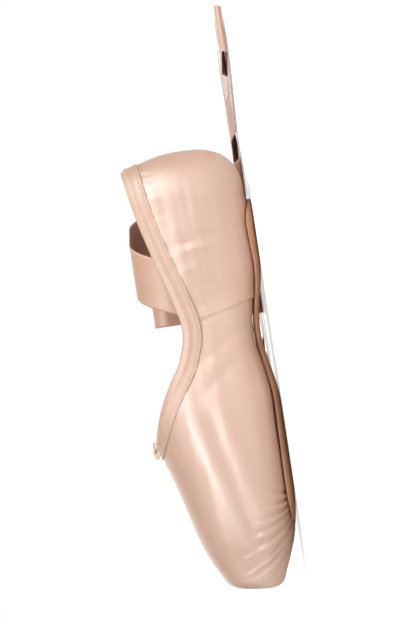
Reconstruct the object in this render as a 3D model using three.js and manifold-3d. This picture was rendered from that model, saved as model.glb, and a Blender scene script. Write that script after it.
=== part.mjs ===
// A pointe shoe, empty, standing on its sole, as a scene graph of separate solids.
//
// A satin upper is drawn over a straight last, so one shape serves either foot. It is a single hollow
// wall, stiff and thick round the toes, where it ends in a flat platform, and thin round the heel. It is
// open at the collar and, between its turned-in margins, underneath. A folded binding caps the collar's
// edge and holds a drawstring, whose knot sits at the throat. A narrow leather outsole closes the shoe
// from below and an insole from inside. Two ribbons are sewn inside the quarters: both lie over the right
// side, and rest on the floor there.
//
// Millimetres. +X points to the toe, +Y to the shoe's left, +Z up. The origin is on the floor, half way
// along.
import * as THREE from "three";
import { mergeVertices } from "three/addons/utils/BufferGeometryUtils.js";
import Module from "manifold-3d";

const wasm = await Module();
wasm.setup();

// ---------------------------------------------------------------- driving sizes

const LENGTH = 226; // back of the heel to the platform
const BALL_WIDTH = 83; // widest place, over the ball of the foot
const THROAT_HEIGHT = 65.6; // floor to the front of the collar
const THROAT_ALONG = 146.5; // back of the heel to the front of the collar
const HEEL_REACH = 27; // back of the heel to the axis that the heel is turned round
const GAP = 0.3; // between pieces that meet

const QUARTER_WALL = 1.8; // satin, canvas and lining
const BOX_WALL = 3.2; // the same with the hardened layers of the toe box
const BOX_FROM = 122; // the wall starts to thicken here
const BOX_FULL = 168; // and is a full box wall from here

const PLATFORM_EDGE = 4; // rounding of the platform's rim
const PLATFORM_LEAN = 0.12; // the platform leans back this much for each millimetre of height
const PLATFORM_PIVOT = 16.7; // height that stays in place as it leans
const LEAN_FROM = 194; // the lean dies out behind this

const ARCH_RISE = 5; // under the waist
const ARCH_FROM = 59;
const ARCH_TO = 134;
const SPRING_FROM = 175; // the toe lifts off the floor in front of this
const TOE_SPRING = 0.0043; // rise for each square millimetre in front of it
const HEEL_SPRING_FROM = 33; // the back end of the sole lifts a little behind this
const HEEL_SPRING = 0.02;

const SOLE_BACK = 29; // back end of the outsole
const SOLE_TIP = 199; // front end, where the pleats begin
const SOLE_FLAT_SHARE = 0.5; // share of its width that is flat underneath: its edges follow the last
const SOLE_SKIVED = 0.3; // share of its thickness that its edges have lost
const SEAM_MARGIN = 7; // the upper is turned in this far under the outsole's edge

const INSOLE_BACK = 12;
const INSOLE_FRONT = 210;
const INSOLE_THICK = 1.4;
const INSOLE_WIDER = 5.5; // its edge lies this far outside the outsole's,
const INSOLE_SHARE = 0.78; // within this share of the inside's width

const BINDING_DEPTH = 8.5; // how far the binding reaches down from the collar's edge
const BINDING_THICK = 0.8; // of its tape

const KNOT_RADIUS = 1.7;
const KNOT_LENGTH = 4;
const KNOT_ALONG = 4.5; // its middle, in front of the throat's edge

const RIBBON_WIDTH = 25;
const RIBBON_LENGTH = 500;
const RIBBON_THICK = 0.6;
const RIBBON_X = 75; // its middle, where it is sewn in
const RIBBON_Y = 24;
const RIBBON_FROM = 30; // height of its sewn end
const RIBBON_LEAN = 0.14; // the quarters lean in
const RIBBON_RAKE = -0.38; // the left one leans back
const FOLD_RADIUS = 1.5; // where a ribbon folds back over itself
const RIBBON_LIFT = 0.9; // the middle of a ribbon's thickness, where it lies on the floor

// One row for each section of the last: how far along it is as a share of the length, its width as a share
// of the ball width, the heights of its widest line and of its top as shares of the throat height, and how
// square it is below and above that line, where 2 is an ellipse. Over the collar the top is that of the
// foot's instep.
const SECTIONS = [
  { along: 0.122, width: 0.663, widest: 0.433, top: 1.206, below: 2.5, above: 2.0 },
  { along: 0.225, width: 0.69, widest: 0.42, top: 1.206, below: 2.6, above: 2.0 },
  { along: 0.338, width: 0.735, widest: 0.4, top: 1.19, below: 2.8, above: 2.1 },
  { along: 0.45, width: 0.838, widest: 0.386, top: 1.136, below: 3.0, above: 2.25 },
  { along: 0.536, width: 0.937, widest: 0.386, top: 1.082, below: 3.0, above: 2.35 },
  { along: 0.608, width: 0.992, widest: 0.386, top: 1.026, below: 3.0, above: 2.4 },
  { along: 0.676, width: 1.0, widest: 0.386, top: 0.971, below: 3.0, above: 2.4 },
  { along: 0.743, width: 0.978, widest: 0.386, top: 0.903, below: 2.9, above: 2.4 },
  { along: 0.811, width: 0.912, widest: 0.386, top: 0.839, below: 2.8, above: 2.4 },
  { along: 0.878, width: 0.806, widest: 0.388, top: 0.777, below: 2.6, above: 2.4 },
  { along: 0.937, width: 0.68, widest: 0.395, top: 0.709, below: 2.5, above: 2.4 },
  { along: 1.0, width: 0.548, widest: 0.405, top: 0.605, below: 2.5, above: 2.5 },
];

// The back of the heel has a section of its own. It shares its top and bottom with the first one.
const HEEL_BACK = { widest: 0.46, below: 2.45, above: 2.0 };
const HEEL_PLAN = 2.1; // how square the heel is from above

// The collar's edge from the back of the heel to the throat, as shares of the length and of the throat
// height.
const COLLAR = [
  { along: 0.0, height: 0.975 },
  { along: 0.135, height: 0.893 },
  { along: 0.234, height: 0.807 },
  { along: 0.324, height: 0.715 },
  { along: 0.405, height: 0.66 },
  { along: 0.468, height: 0.715 },
  { along: 0.532, height: 0.845 },
  { along: 0.586, height: 0.935 },
  { along: THROAT_ALONG / LENGTH, height: 1.0 },
];

// The outsole's half width and thickness at distances from the back of the heel. Its ends are rounded
// besides.
const SOLE = [
  { x: 29, half: 17.5, thick: 1.6 },
  { x: 45, half: 17.5, thick: 2.0 },
  { x: 62, half: 16, thick: 2.4 },
  { x: 80, half: 13, thick: 2.7 },
  { x: 96, half: 12, thick: 3.0 },
  { x: 112, half: 14.5, thick: 3.2 },
  { x: 130, half: 21, thick: 3.4 },
  { x: 149, half: 24.7, thick: 3.4 },
  { x: 163, half: 25.5, thick: 3.4 },
  { x: 179, half: 24.5, thick: 3.2 },
  { x: 199, half: 20, thick: 1.5 },
  { x: 226, half: 20, thick: 1.2 },
];
const SOLE_FRONT_ROUND = 24; // length of the rounded front end
const SOLE_BACK_ROUND = 13; // and of the back end

// How finely the forms are divided.
const SIDE_STEPS = 19; // sections along each side
const HEEL_STEPS = 12; // fans of the heel
const ROUND_STEPS = 18; // points from the bottom of a section to its top
const SOLE_STEPS = 28;
const COLLAR_STEPS = 56;
const COLLAR_REACH = 7; // how far the collar's cutting rings reach out of the wall
const BEND_STEP = 0.28; // radians of a ribbon's bend between its stations
const FLAT_STEP = 40; // millimetres between a ribbon's stations elsewhere

// ---------------------------------------------------------------- small helpers

const clamp01 = (t) => Math.min(1, Math.max(0, t));
const smooth = (t) => clamp01(t) ** 2 * (3 - 2 * clamp01(t));
const lerp = (a, b, t) => a + (b - a) * t;

// A smooth curve through a table's column, with no overshoot between its rows.
function curveOf(rows, key, value, scaleKey = 1, scaleValue = 1) {
  const xs = rows.map((row) => row[key] * scaleKey);
  const ys = rows.map((row) => row[value] * scaleValue);
  const slopes = xs.slice(1).map((x, i) => (ys[i + 1] - ys[i]) / (x - xs[i]));
  const tangents = xs.map((_, i) => {
    if (i === 0) return slopes[0];
    if (i === xs.length - 1) return slopes[i - 1];
    if (slopes[i - 1] * slopes[i] <= 0) return 0;
    const before = xs[i] - xs[i - 1];
    const after = xs[i + 1] - xs[i];
    const [w1, w2] = [2 * after + before, after + 2 * before];
    return (w1 + w2) / (w1 / slopes[i - 1] + w2 / slopes[i]);
  });
  return (x) => {
    if (x <= xs[0]) return ys[0] + tangents[0] * (x - xs[0]) * (key === "along" ? 1 : 0);
    if (x >= xs.at(-1)) return ys.at(-1);
    const i = xs.findLastIndex((at) => at <= x);
    const [width, t] = [xs[i + 1] - xs[i], (x - xs[i]) / (xs[i + 1] - xs[i])];
    const [t2, t3] = [t * t, t * t * t];
    return (
      ys[i] * (2 * t3 - 3 * t2 + 1) +
      tangents[i] * width * (t3 - 2 * t2 + t) +
      ys[i + 1] * (3 * t2 - 2 * t3) +
      tangents[i + 1] * width * (t3 - t2)
    );
  };
}

// A geometry from corner points and triangles of indices. Corners that coincide are joined, and triangles
// that have collapsed are left out.
function geometryOf(corners, triangles) {
  const loose = new THREE.BufferGeometry();
  loose.setAttribute("position", new THREE.Float32BufferAttribute(corners.flat(), 3));
  loose.setIndex(triangles.flat());
  const joined = mergeVertices(loose, 1e-3);
  const index = joined.index.array;
  const kept = [];
  for (let i = 0; i < index.length; i += 3) {
    const [a, b, c] = [index[i], index[i + 1], index[i + 2]];
    if (a !== b && b !== c && c !== a) kept.push(a, b, c);
  }
  joined.setIndex(kept);
  return joined;
}

// Two triangles for each cell of a grid of rows of corners. A closed grid's last row meets its first again.
function gridTriangles(rowCount, columnCount, { closedRows = false, closedColumns = false } = {}) {
  const triangles = [];
  for (let i = 0; i < rowCount - (closedRows ? 0 : 1); i++) {
    for (let j = 0; j < columnCount - (closedColumns ? 0 : 1); j++) {
      const [i2, j2] = [(i + 1) % rowCount, (j + 1) % columnCount];
      const [a, b] = [i * columnCount + j, i2 * columnCount + j];
      const [c, d] = [i2 * columnCount + j2, i * columnCount + j2];
      triangles.push([a, b, c], [a, c, d]);
    }
  }
  return triangles;
}

function solidOf(geometry) {
  const bare = geometry.index ? geometry.clone() : mergeVertices(geometry.clone());
  bare.deleteAttribute("normal");
  bare.deleteAttribute("uv");
  const merged = mergeVertices(bare, 1e-3);
  return new wasm.Manifold(
    new wasm.Mesh({
      numProp: 3,
      vertProperties: merged.attributes.position.array,
      triVerts: new Uint32Array(merged.index.array),
    }),
  );
}

function geometryOfSolid(solid) {
  const mesh = solid.getMesh();
  const geometry = new THREE.BufferGeometry();
  geometry.setAttribute("position", new THREE.BufferAttribute(mesh.vertProperties, 3));
  geometry.setIndex(new THREE.BufferAttribute(mesh.triVerts, 1));
  return geometry;
}

// ---------------------------------------------------------------- the last

const halfWidth = curveOf(SECTIONS, "along", "width", LENGTH, BALL_WIDTH / 2);
const widestHeight = curveOf(SECTIONS, "along", "widest", LENGTH, THROAT_HEIGHT);
const topHeight = curveOf(SECTIONS, "along", "top", LENGTH, THROAT_HEIGHT);
const squareBelow = curveOf(SECTIONS, "along", "below", LENGTH);
const squareAbove = curveOf(SECTIONS, "along", "above", LENGTH);
const collarHeight = curveOf(COLLAR, "along", "height", LENGTH, THROAT_HEIGHT);
const soleHalf = curveOf(SOLE, "x", "half");
const soleThick = curveOf(SOLE, "x", "thick");

// The line of the outsole's underside, seen from the side.
function soleLine(x) {
  const arch = (x - ARCH_FROM) / (ARCH_TO - ARCH_FROM);
  const rise = arch > 0 && arch < 1 ? (ARCH_RISE / 2) * (1 - Math.cos(2 * Math.PI * arch)) : 0;
  const spring = TOE_SPRING * Math.max(0, x - SPRING_FROM) ** 2;
  return rise + spring + HEEL_SPRING * Math.max(0, HEEL_SPRING_FROM - x) ** 2;
}

// The last's wall at a distance from the heel: a full box wall at the toe, a thin one at the quarters.
const wallAt = (x) => lerp(QUARTER_WALL, BOX_WALL, smooth((x - BOX_FROM) / (BOX_FULL - BOX_FROM)));

// The section at x as half width, heights and squareness. The platform's rim is rounded by drawing it in.
function sectionAt(x) {
  const past = Math.max(0, x - (LENGTH - PLATFORM_EDGE));
  const drawn = PLATFORM_EDGE - Math.sqrt(Math.max(0, PLATFORM_EDGE ** 2 - past ** 2));
  const at = Math.max(x, HEEL_REACH);
  return {
    half: halfWidth(at) - drawn,
    widest: widestHeight(at),
    bottom: soleLine(at) + soleThick(at) + GAP + drawn,
    top: topHeight(at) - drawn,
    below: squareBelow(at),
    above: squareAbove(at),
  };
}

// A rib is half a section: along the sides it stands across the shoe, and round the heel the ribs fan out
// from one upright axis. fan runs from 0 at the shoe's left side, over a quarter turn at its back, to half
// a turn.
function ribAt({ x = HEEL_REACH, side = 1, fan = null }) {
  const section = sectionAt(x);
  if (fan === null) return { ...section, x, outward: [0, side] };
  const [across, back] = [Math.cos(fan), Math.sin(fan)];
  const reach =
    ((Math.abs(across) / section.half) ** HEEL_PLAN + (back / HEEL_REACH) ** HEEL_PLAN) ** (-1 / HEEL_PLAN);
  const share = back ** 2;
  return {
    ...section,
    half: reach,
    widest: lerp(section.widest, HEEL_BACK.widest * THROAT_HEIGHT, share),
    below: lerp(section.below, HEEL_BACK.below, share),
    above: lerp(section.above, HEEL_BACK.above, share),
    x,
    outward: [-back, across],
  };
}

// How far a rib reaches from its middle in a direction, an angle above its widest line, with the wall moved
// outwards by grown.
function reachOf(rib, angle, grown) {
  const up = angle >= 0;
  const high = (up ? rib.top - rib.widest : rib.widest - rib.bottom) + grown;
  const power = up ? rib.above : rib.below;
  const [c, s] = [Math.abs(Math.cos(angle)), Math.abs(Math.sin(angle))];
  return ((c / (rib.half + grown)) ** power + (s / high) ** power) ** (-1 / power);
}

// The platform leans back, and so does the toe close behind it.
const leant = (x, z) =>
  x - PLATFORM_LEAN * (z - PLATFORM_PIVOT) * smooth((x - LEAN_FROM) / (LENGTH - LEAN_FROM));

// A point on a rib, measured from the back of the heel.
function pointOn(rib, angle, grown) {
  const reach = reachOf(rib, angle, grown);
  const [out, z] = [reach * Math.cos(angle), rib.widest + reach * Math.sin(angle)];
  const x = rib.x + grown * smooth((rib.x - LEAN_FROM) / (LENGTH - LEAN_FROM)) + out * rib.outward[0];
  return [leant(x, z), out * rib.outward[1], z];
}

// Where the section's wall stands at a height above its widest line.
function widthAtHeight(rib, z, grown) {
  const high = rib.top + grown - rib.widest;
  const share = clamp01((z - rib.widest) / high) ** rib.above;
  return (rib.half + grown) * (1 - share) ** (1 / rib.above);
}

// The whole last as a closed form, with its wall moved outwards by grownAt(x).
function lastForm(grownAt) {
  const ribs = [];
  for (let i = 0; i <= SIDE_STEPS; i++) {
    const eased = Math.sin((Math.PI / 2) * (1 - i / SIDE_STEPS) ** 0.85);
    ribs.push({ x: lerp(HEEL_REACH, LENGTH, eased), side: 1 });
  }
  for (let i = 1; i < HEEL_STEPS; i++) ribs.push({ fan: (Math.PI * i) / HEEL_STEPS });
  for (let i = SIDE_STEPS; i >= 0; i--) ribs.push({ ...ribs[i], side: -1 });
  const corners = [];
  for (const place of ribs) {
    const rib = ribAt(place);
    for (let j = 0; j <= ROUND_STEPS; j++) {
      const angle = Math.PI * (j / ROUND_STEPS - 0.5);
      corners.push(pointOn(rib, angle, grownAt(rib.x)));
    }
  }
  const columns = ROUND_STEPS + 1;
  const triangles = gridTriangles(ribs.length, columns);
  const last = (ribs.length - 1) * columns;
  for (let j = 0; j < ROUND_STEPS; j++) {
    triangles.push([last + j, j, j + 1], [last + j, j + 1, last + j + 1]);
  }
  return solidOf(geometryOf(corners, triangles));
}

// ---------------------------------------------------------------- outlines seen from above

// Half the outsole's width at x, with both ends rounded.
function outsoleHalf(x) {
  const front = clamp01((x - (SOLE_TIP - SOLE_FRONT_ROUND)) / SOLE_FRONT_ROUND);
  const back = clamp01((SOLE_BACK + SOLE_BACK_ROUND - x) / SOLE_BACK_ROUND);
  return soleHalf(x) * Math.sqrt(1 - front ** 2) * Math.sqrt(1 - back ** 2);
}

// The insole follows the outsole, wider and longer, and rounded to the shoe's inside.
function insoleHalf(x) {
  const front = clamp01((x - (INSOLE_FRONT - SOLE_FRONT_ROUND)) / SOLE_FRONT_ROUND);
  const back = clamp01((HEEL_REACH + SOLE_BACK_ROUND - x) / (HEEL_REACH + SOLE_BACK_ROUND - INSOLE_BACK));
  const wide = Math.min(soleHalf(x) + INSOLE_WIDER, INSOLE_SHARE * (halfWidth(x) - wallAt(x)));
  return wide * Math.sqrt(1 - front ** 2) * Math.sqrt(1 - back ** 2);
}

// An upright prism over the outline that half(x) gives from one end to the other.
function prism(from, to, half, low, high) {
  const [left, right] = [[], []];
  for (let i = 0; i <= SOLE_STEPS; i++) {
    const x = lerp(from, to, 0.5 - 0.5 * Math.cos((Math.PI * i) / SOLE_STEPS));
    const wide = Math.max(0.2, half(x));
    left.push(new THREE.Vector2(x, wide));
    right.unshift(new THREE.Vector2(x, -wide));
  }
  const outline = new THREE.Shape([...right, ...left]);
  const form = new THREE.ExtrudeGeometry(outline, { depth: high - low, bevelEnabled: false });
  return solidOf(form.translate(0, 0, low));
}

// ---------------------------------------------------------------- sole pieces

// The height of the last's underside at a place in front of the heel.
function undersideAt(x, y) {
  const { half, widest, bottom, below } = ribAt({ x });
  return widest - (widest - bottom) * (1 - clamp01(Math.abs(y) / half) ** below) ** (1 / below);
}

// The outsole is cut to the last on top, from a slab with a level top.
function outsole() {
  const shares = [1, 0.88, 0.72, SOLE_FLAT_SHARE, 0.25, 0, -0.25, -SOLE_FLAT_SHARE, -0.72, -0.88, -1];
  const high = 10;
  const corners = [];
  for (let i = 0; i <= SOLE_STEPS; i++) {
    const x = lerp(SOLE_BACK, SOLE_TIP, 0.5 - 0.5 * Math.cos(Math.PI * lerp(0.04, 0.96, i / SOLE_STEPS)));
    const half = outsoleHalf(x);
    const flat = undersideAt(x, SOLE_FLAT_SHARE * half);
    for (const share of shares) {
      const edge = smooth((Math.abs(share) - SOLE_FLAT_SHARE) / (1 - SOLE_FLAT_SHARE));
      const rise = Math.max(0, undersideAt(x, share * half) - flat);
      corners.push([x, share * half, soleLine(x) + rise + SOLE_SKIVED * soleThick(x) * edge]);
    }
    corners.push([x, -half, high], [x, half, high]);
  }
  const round = shares.length + 2;
  const triangles = gridTriangles(SOLE_STEPS + 1, round, { closedColumns: true });
  const end = SOLE_STEPS * round;
  for (let j = 1; j < round - 1; j++) {
    triangles.push([0, j, j + 1], [end, end + j + 1, end + j]);
  }
  const slab = solidOf(geometryOf(corners, triangles));
  return geometryOfSolid(slab.subtract(lastForm(() => GAP)));
}

// The insole is an even layer inside the wall.
function insole() {
  const [low, high] = [-5, 25];
  const outline = prism(INSOLE_BACK, INSOLE_FRONT, insoleHalf, low, high);
  const inside = lastForm((x) => -wallAt(x) - GAP);
  const over = lastForm((x) => -wallAt(x) - GAP - INSOLE_THICK);
  return geometryOfSolid(inside.intersect(outline).subtract(over));
}

// ---------------------------------------------------------------- the collar's edge

// The front of the collar: where the line of its edge meets the top of the last.
function throatX() {
  let [back, front] = [THROAT_ALONG - 20, THROAT_ALONG + 5];
  for (let pass = 0; pass < 40; pass++) {
    const middle = (back + front) / 2;
    if (collarHeight(middle) < topHeight(middle)) back = middle;
    else front = middle;
  }
  return back;
}

// The collar's edge on the outside of the last, from the throat round the left side, the heel and the right
// side. Each station has its place, the direction out of the wall, and the direction down the wall.
function collarStations() {
  const left = [];
  const steps = 160;
  const start = throatX();
  for (let i = 0; i < steps; i++) {
    const x = lerp(start, HEEL_REACH, (i / steps) ** 2);
    const z = collarHeight(x);
    left.push([x, i === 0 ? 0 : widthAtHeight(ribAt({ x }), z, 0), z]);
  }
  for (let i = 0; i <= steps / 4; i++) {
    const rib = ribAt({ fan: (Math.PI / 2) * (i / (steps / 4)) });
    let [x, out, z] = [0, 0, 0];
    for (let pass = 0; pass < 12; pass++) {
      z = collarHeight(Math.max(0, x));
      out = widthAtHeight(rib, z, 0);
      x = rib.x + out * rib.outward[0];
    }
    left.push([x, out * rib.outward[1], z]);
  }
  const right = left.slice(1, -1).map(([x, y, z]) => [x, -y, z]);
  const loop = [...left, ...right.toReversed()].map((at) => new THREE.Vector3(...at));
  const even = new THREE.CatmullRomCurve3(loop, true);
  even.arcLengthDivisions = 2000;
  const path = even.getSpacedPoints(COLLAR_STEPS).slice(0, COLLAR_STEPS);
  return path.map((edge, i) => {
    const along = path[(i + 1) % path.length].clone().sub(path.at(i - 1)).normalize();
    const normal = wallNormal(edge);
    const down = normal.clone().cross(along).normalize();
    const out = new THREE.Vector3().crossVectors(along, down).normalize();
    if (out.dot(normal) < 0) out.negate();
    if (down.z > 0) down.negate();
    return { edge, out, down };
  });
}

// The direction square out of the last's wall at a place on it.
function wallNormal(at) {
  const level = (x, y, z) => {
    const fanned = x < HEEL_REACH;
    const rib = fanned ? ribAt({ fan: Math.atan2(HEEL_REACH - x, y) }) : ribAt({ x });
    const out = fanned ? Math.hypot(HEEL_REACH - x, y) : Math.abs(y);
    return Math.hypot(out, z - rib.widest) / reachOf(rib, Math.atan2(z - rib.widest, out), 0);
  };
  const step = 0.05;
  const here = level(at.x, at.y, at.z);
  const slope = [
    level(at.x + step, at.y, at.z) - here,
    level(at.x, at.y + step, at.z) - here,
    level(at.x, at.y, at.z + step) - here,
  ];
  return new THREE.Vector3(...slope).normalize();
}

// A ring that follows the collar's edge. Its section is a loop of corners, each a depth below the edge and
// a distance out of the wall.
function collarRing(loopAt) {
  const corners = collarStations().flatMap(({ edge, out, down }) =>
    loopAt(wallAt(edge.x)).map(([depth, grown]) =>
      edge.clone().addScaledVector(down, depth).addScaledVector(out, grown).toArray(),
    ),
  );
  const round = corners.length / COLLAR_STEPS;
  return solidOf(
    geometryOf(corners, gridTriangles(COLLAR_STEPS, round, { closedRows: true, closedColumns: true })),
  );
}

// ---------------------------------------------------------------- upper

// What is well above the collar's edge, as a tool that cuts straight across the shoe.
function aboveCollar(clear) {
  const shape = new THREE.Shape();
  const [behind, high, wide] = [-20, 120, 160];
  shape.moveTo(behind, high);
  for (let x = behind; x < throatX(); x += 2.5) shape.lineTo(x, collarHeight(Math.max(0, x)) + clear);
  shape.lineTo(throatX(), high);
  const tool = new THREE.ExtrudeGeometry(shape, { depth: wide, bevelEnabled: false });
  return solidOf(tool.rotateX(Math.PI / 2).translate(0, wide / 2, 0));
}

// The opening between the upper's turned-in margins.
function underOpening() {
  const half = (x) => outsoleHalf(x) - SEAM_MARGIN;
  return prism(SOLE_BACK + SEAM_MARGIN, SOLE_TIP - SEAM_MARGIN, half, -5, 12);
}

// What is just above the collar's edge, cut square to the wall, from lift above the edge itself.
function edgeCut(lift) {
  const [reach, above] = [COLLAR_REACH, 14];
  return collarRing((wall) => [
    [-lift, reach],
    [-above, reach],
    [-above, -wall - reach],
    [-lift, -wall - reach],
  ]);
}

function upper() {
  const outside = lastForm(() => 0);
  const inside = lastForm((x) => -wallAt(x));
  const tools = edgeCut(0).add(aboveCollar(1.5)).add(underOpening());
  return geometryOfSolid(outside.subtract(inside).subtract(tools).simplify(0.02));
}

// ---------------------------------------------------------------- binding and knot

// The binding is a tape folded over the collar's edge, with one leg outside the wall and one inside. It is
// what lies between a larger and a smaller form of the wall, near the collar's edge.
function binding() {
  const shell = (thick) => lastForm(() => thick).subtract(lastForm((x) => -wallAt(x) - thick));
  const thick = GAP + BINDING_THICK;
  const [deep, reach] = [BINDING_DEPTH, COLLAR_REACH];
  const outer = collarRing((wall) => [
    [deep, reach],
    [0, thick],
    [-thick, 0],
    [-thick, -wall],
    [0, -wall - thick],
    [deep, -wall - reach],
  ]);
  const core = shell(GAP).subtract(edgeCut(GAP));
  return geometryOfSolid(outer.intersect(shell(thick)).subtract(core).simplify(0.02));
}

// The drawstring's knot lies on the binding at the throat, in line with the shoe.
function knot() {
  const shape = new THREE.CapsuleGeometry(KNOT_RADIUS, KNOT_LENGTH, 5, 12);
  const x = throatX() + KNOT_ALONG;
  const slope = Math.atan2(topHeight(x) - topHeight(x + 1), 1);
  const high = GAP + BINDING_THICK + GAP + KNOT_RADIUS;
  shape.rotateZ(Math.PI / 2).rotateY(slope);
  return shape.translate(x + high * Math.sin(slope), 0, topHeight(x) + high * Math.cos(slope));
}

// ---------------------------------------------------------------- ribbons

// A ribbon bends but doesn't stretch, so it is a flat strip rolled round straight lines across it. It is
// laid out as by a turtle: forward runs straight, and bend rolls the strip up or down round a line that is
// skewed by an angle from square across it. Everything after a bend is carried along.
class Ribbon {
  constructor({ at, along, across }) {
    this.frame = { at, along: along.normalize(), across };
    this.frame.across = across.addScaledVector(along, -across.dot(along)).normalize();
    this.frame.up = new THREE.Vector3().crossVectors(this.frame.along, this.frame.across);
    this.run = 0;
    this.bends = [];
    this.stations = [{ run: 0, skew: 0 }];
  }

  forward(length) {
    this.run += length;
    return this;
  }

  // Rolls the strip by an angle, up for a positive one, at a radius.
  bend(angle, radius, skew = 0) {
    const { along, across, up } = this.frame;
    const [c, s] = [Math.cos(skew), Math.sin(skew)];
    const over = along.clone().multiplyScalar(c).addScaledVector(across, s); // square to the roll's line
    const line = along.clone().multiplyScalar(-s).addScaledVector(across, c);
    const origin = this.frame.at.clone().addScaledVector(along, this.run);
    const bend = { run: this.run, c, s, radius, angle, over, line, up, origin, before: { ...this.frame } };
    const turned = this.rolled(bend, Math.abs(angle));
    const nextAlong = turned.over.clone().multiplyScalar(c).addScaledVector(line, -s);
    const nextAcross = turned.over.clone().multiplyScalar(s).addScaledVector(line, c);
    const length = (radius * Math.abs(angle)) / c;
    this.bends.push(bend);
    const steps = Math.max(2, Math.ceil(Math.abs(angle) / BEND_STEP));
    for (let i = 0; i <= steps; i++) {
      this.stations.push({ run: this.run + (length * i) / steps, skew });
    }
    this.run += length;
    const at = turned.place(0).addScaledVector(turned.over, -radius * Math.abs(angle));
    at.addScaledVector(nextAlong, -bend.run);
    this.frame = { at, along: nextAlong, across: nextAcross, up: turned.up };
    return this;
  }

  // The strip at an angle round a bend: where it is for a distance along the roll's line, and its
  // directions.
  rolled({ origin, over, line, up, radius, angle }, turned) {
    const sign = Math.sign(angle);
    const [c, s] = [Math.cos(turned), Math.sin(turned)];
    return {
      place: (offset) =>
        origin
          .clone()
          .addScaledVector(line, offset)
          .addScaledVector(over, radius * s)
          .addScaledVector(up, sign * radius * (1 - c)),
      over: over.clone().multiplyScalar(c).addScaledVector(up, sign * s),
      up: up.clone().multiplyScalar(c).addScaledVector(over, -sign * s),
    };
  }

  // The skew at which the roll's line is level.
  levelSkew() {
    return Math.atan(this.frame.across.z / this.frame.along.z);
  }

  // Where a place on the flat strip lies, with the strip's upward direction there.
  placeOf(run, off) {
    for (const bend of this.bends.toReversed()) {
      const past = (run - bend.run) * bend.c + off * bend.s;
      if (past <= 0) continue;
      const offset = -(run - bend.run) * bend.s + off * bend.c;
      const turned = Math.min(Math.abs(bend.angle), past / bend.radius);
      const at = this.rolled(bend, turned);
      const left = past - bend.radius * turned;
      return { place: at.place(offset).addScaledVector(at.over, left), up: at.up };
    }
    const { at, along, across, up } = this.bends[0].before;
    return { place: at.clone().addScaledVector(along, run).addScaledVector(across, off), up };
  }

  // How steeply it climbs, seen along the level line across it.
  pitch() {
    const skew = this.levelSkew();
    const { along, across } = this.frame;
    return Math.asin(along.z * Math.cos(skew) + across.z * Math.sin(skew));
  }

  height() {
    return this.frame.at.z + this.frame.along.z * this.run;
  }

  // Rolls over the level line across it until it climbs at a new pitch.
  pitchTo(pitch, radius) {
    return this.bend((pitch - this.pitch()) * Math.sign(this.frame.up.z), radius, this.levelSkew());
  }

  // Goes down in a straight line and then rolls out flat at a height above the floor.
  land(radius, height) {
    const drop = this.height() - height - radius * (1 - Math.cos(this.pitch()));
    return this.forward(drop / -this.frame.along.z).pitchTo(0, radius);
  }

  // Folds back over itself to head another way, an angle to the left of +X seen from above.
  foldTo(heading, radius) {
    const { along, up } = this.frame;
    const turn = THREE.MathUtils.euclideanModulo(heading - Math.atan2(along.y, along.x), 2 * Math.PI);
    const sign = Math.sign(up.z);
    return this.bend(sign * Math.PI, radius, (sign * (turn - Math.PI)) / 2);
  }

  // Comes down from lying flat at one height to lying flat at a lower one.
  settle(angle, radius, height) {
    const sign = -Math.sign(this.frame.up.z);
    const drop = this.height() - height - 2 * radius * (1 - Math.cos(angle));
    this.bend(sign * angle, radius).forward(drop / Math.sin(angle));
    return this.bend(-sign * angle, radius);
  }

  geometry(length) {
    const flat = [];
    const marks = [...this.stations, { run: length, skew: 0 }];
    marks.forEach((mark, i) => {
      if (i > 0) {
        const before = marks[i - 1];
        const count = Math.ceil((mark.run - before.run) / FLAT_STEP);
        for (let k = 1; k < count; k++) {
          const t = k / count;
          flat.push({ run: lerp(before.run, mark.run, t), skew: lerp(before.skew, mark.skew, t) });
        }
      }
      if (i === 0 || mark.run > marks[i - 1].run + 1e-6) flat.push(mark);
    });
    const corners = [];
    for (const { run, skew } of flat) {
      for (const [side, face] of [[-1, 1], [1, 1], [1, -1], [-1, -1]]) {
        const off = (side * RIBBON_WIDTH) / 2;
        const { place, up } = this.placeOf(run - off * Math.tan(skew), off);
        corners.push(place.addScaledVector(up, (face * RIBBON_THICK) / 2).toArray());
      }
    }
    const triangles = gridTriangles(flat.length, 4, { closedColumns: true });
    const end = (flat.length - 1) * 4;
    triangles.push([0, 1, 2], [0, 2, 3], [end, end + 2, end + 1], [end, end + 3, end + 2]);
    return geometryOf(corners, triangles);
  }
}

const degrees = THREE.MathUtils.degToRad;

// From inside the left quarter, up and over the opening and the right side's collar, to the floor.
function ribbonInner() {
  const ribbon = new Ribbon({
    at: new THREE.Vector3(RIBBON_X, RIBBON_Y, RIBBON_FROM),
    along: new THREE.Vector3(Math.sin(RIBBON_RAKE), -Math.sin(RIBBON_LEAN), Math.cos(RIBBON_RAKE)),
    across: new THREE.Vector3(-1, 0, 0),
  });
  const level = ribbon.levelSkew();
  ribbon.forward(19).bend(degrees(84), 20, level).forward(21).bend(degrees(84), 15, level);
  ribbon.land(14, RIBBON_LIFT).forward(44);
  ribbon.foldTo(degrees(120), FOLD_RADIUS).forward(26).settle(degrees(20), 12, RIBBON_LIFT).forward(75);
  return ribbon.foldTo(degrees(278), FOLD_RADIUS).forward(52).settle(degrees(20), 12, RIBBON_LIFT);
}

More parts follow.
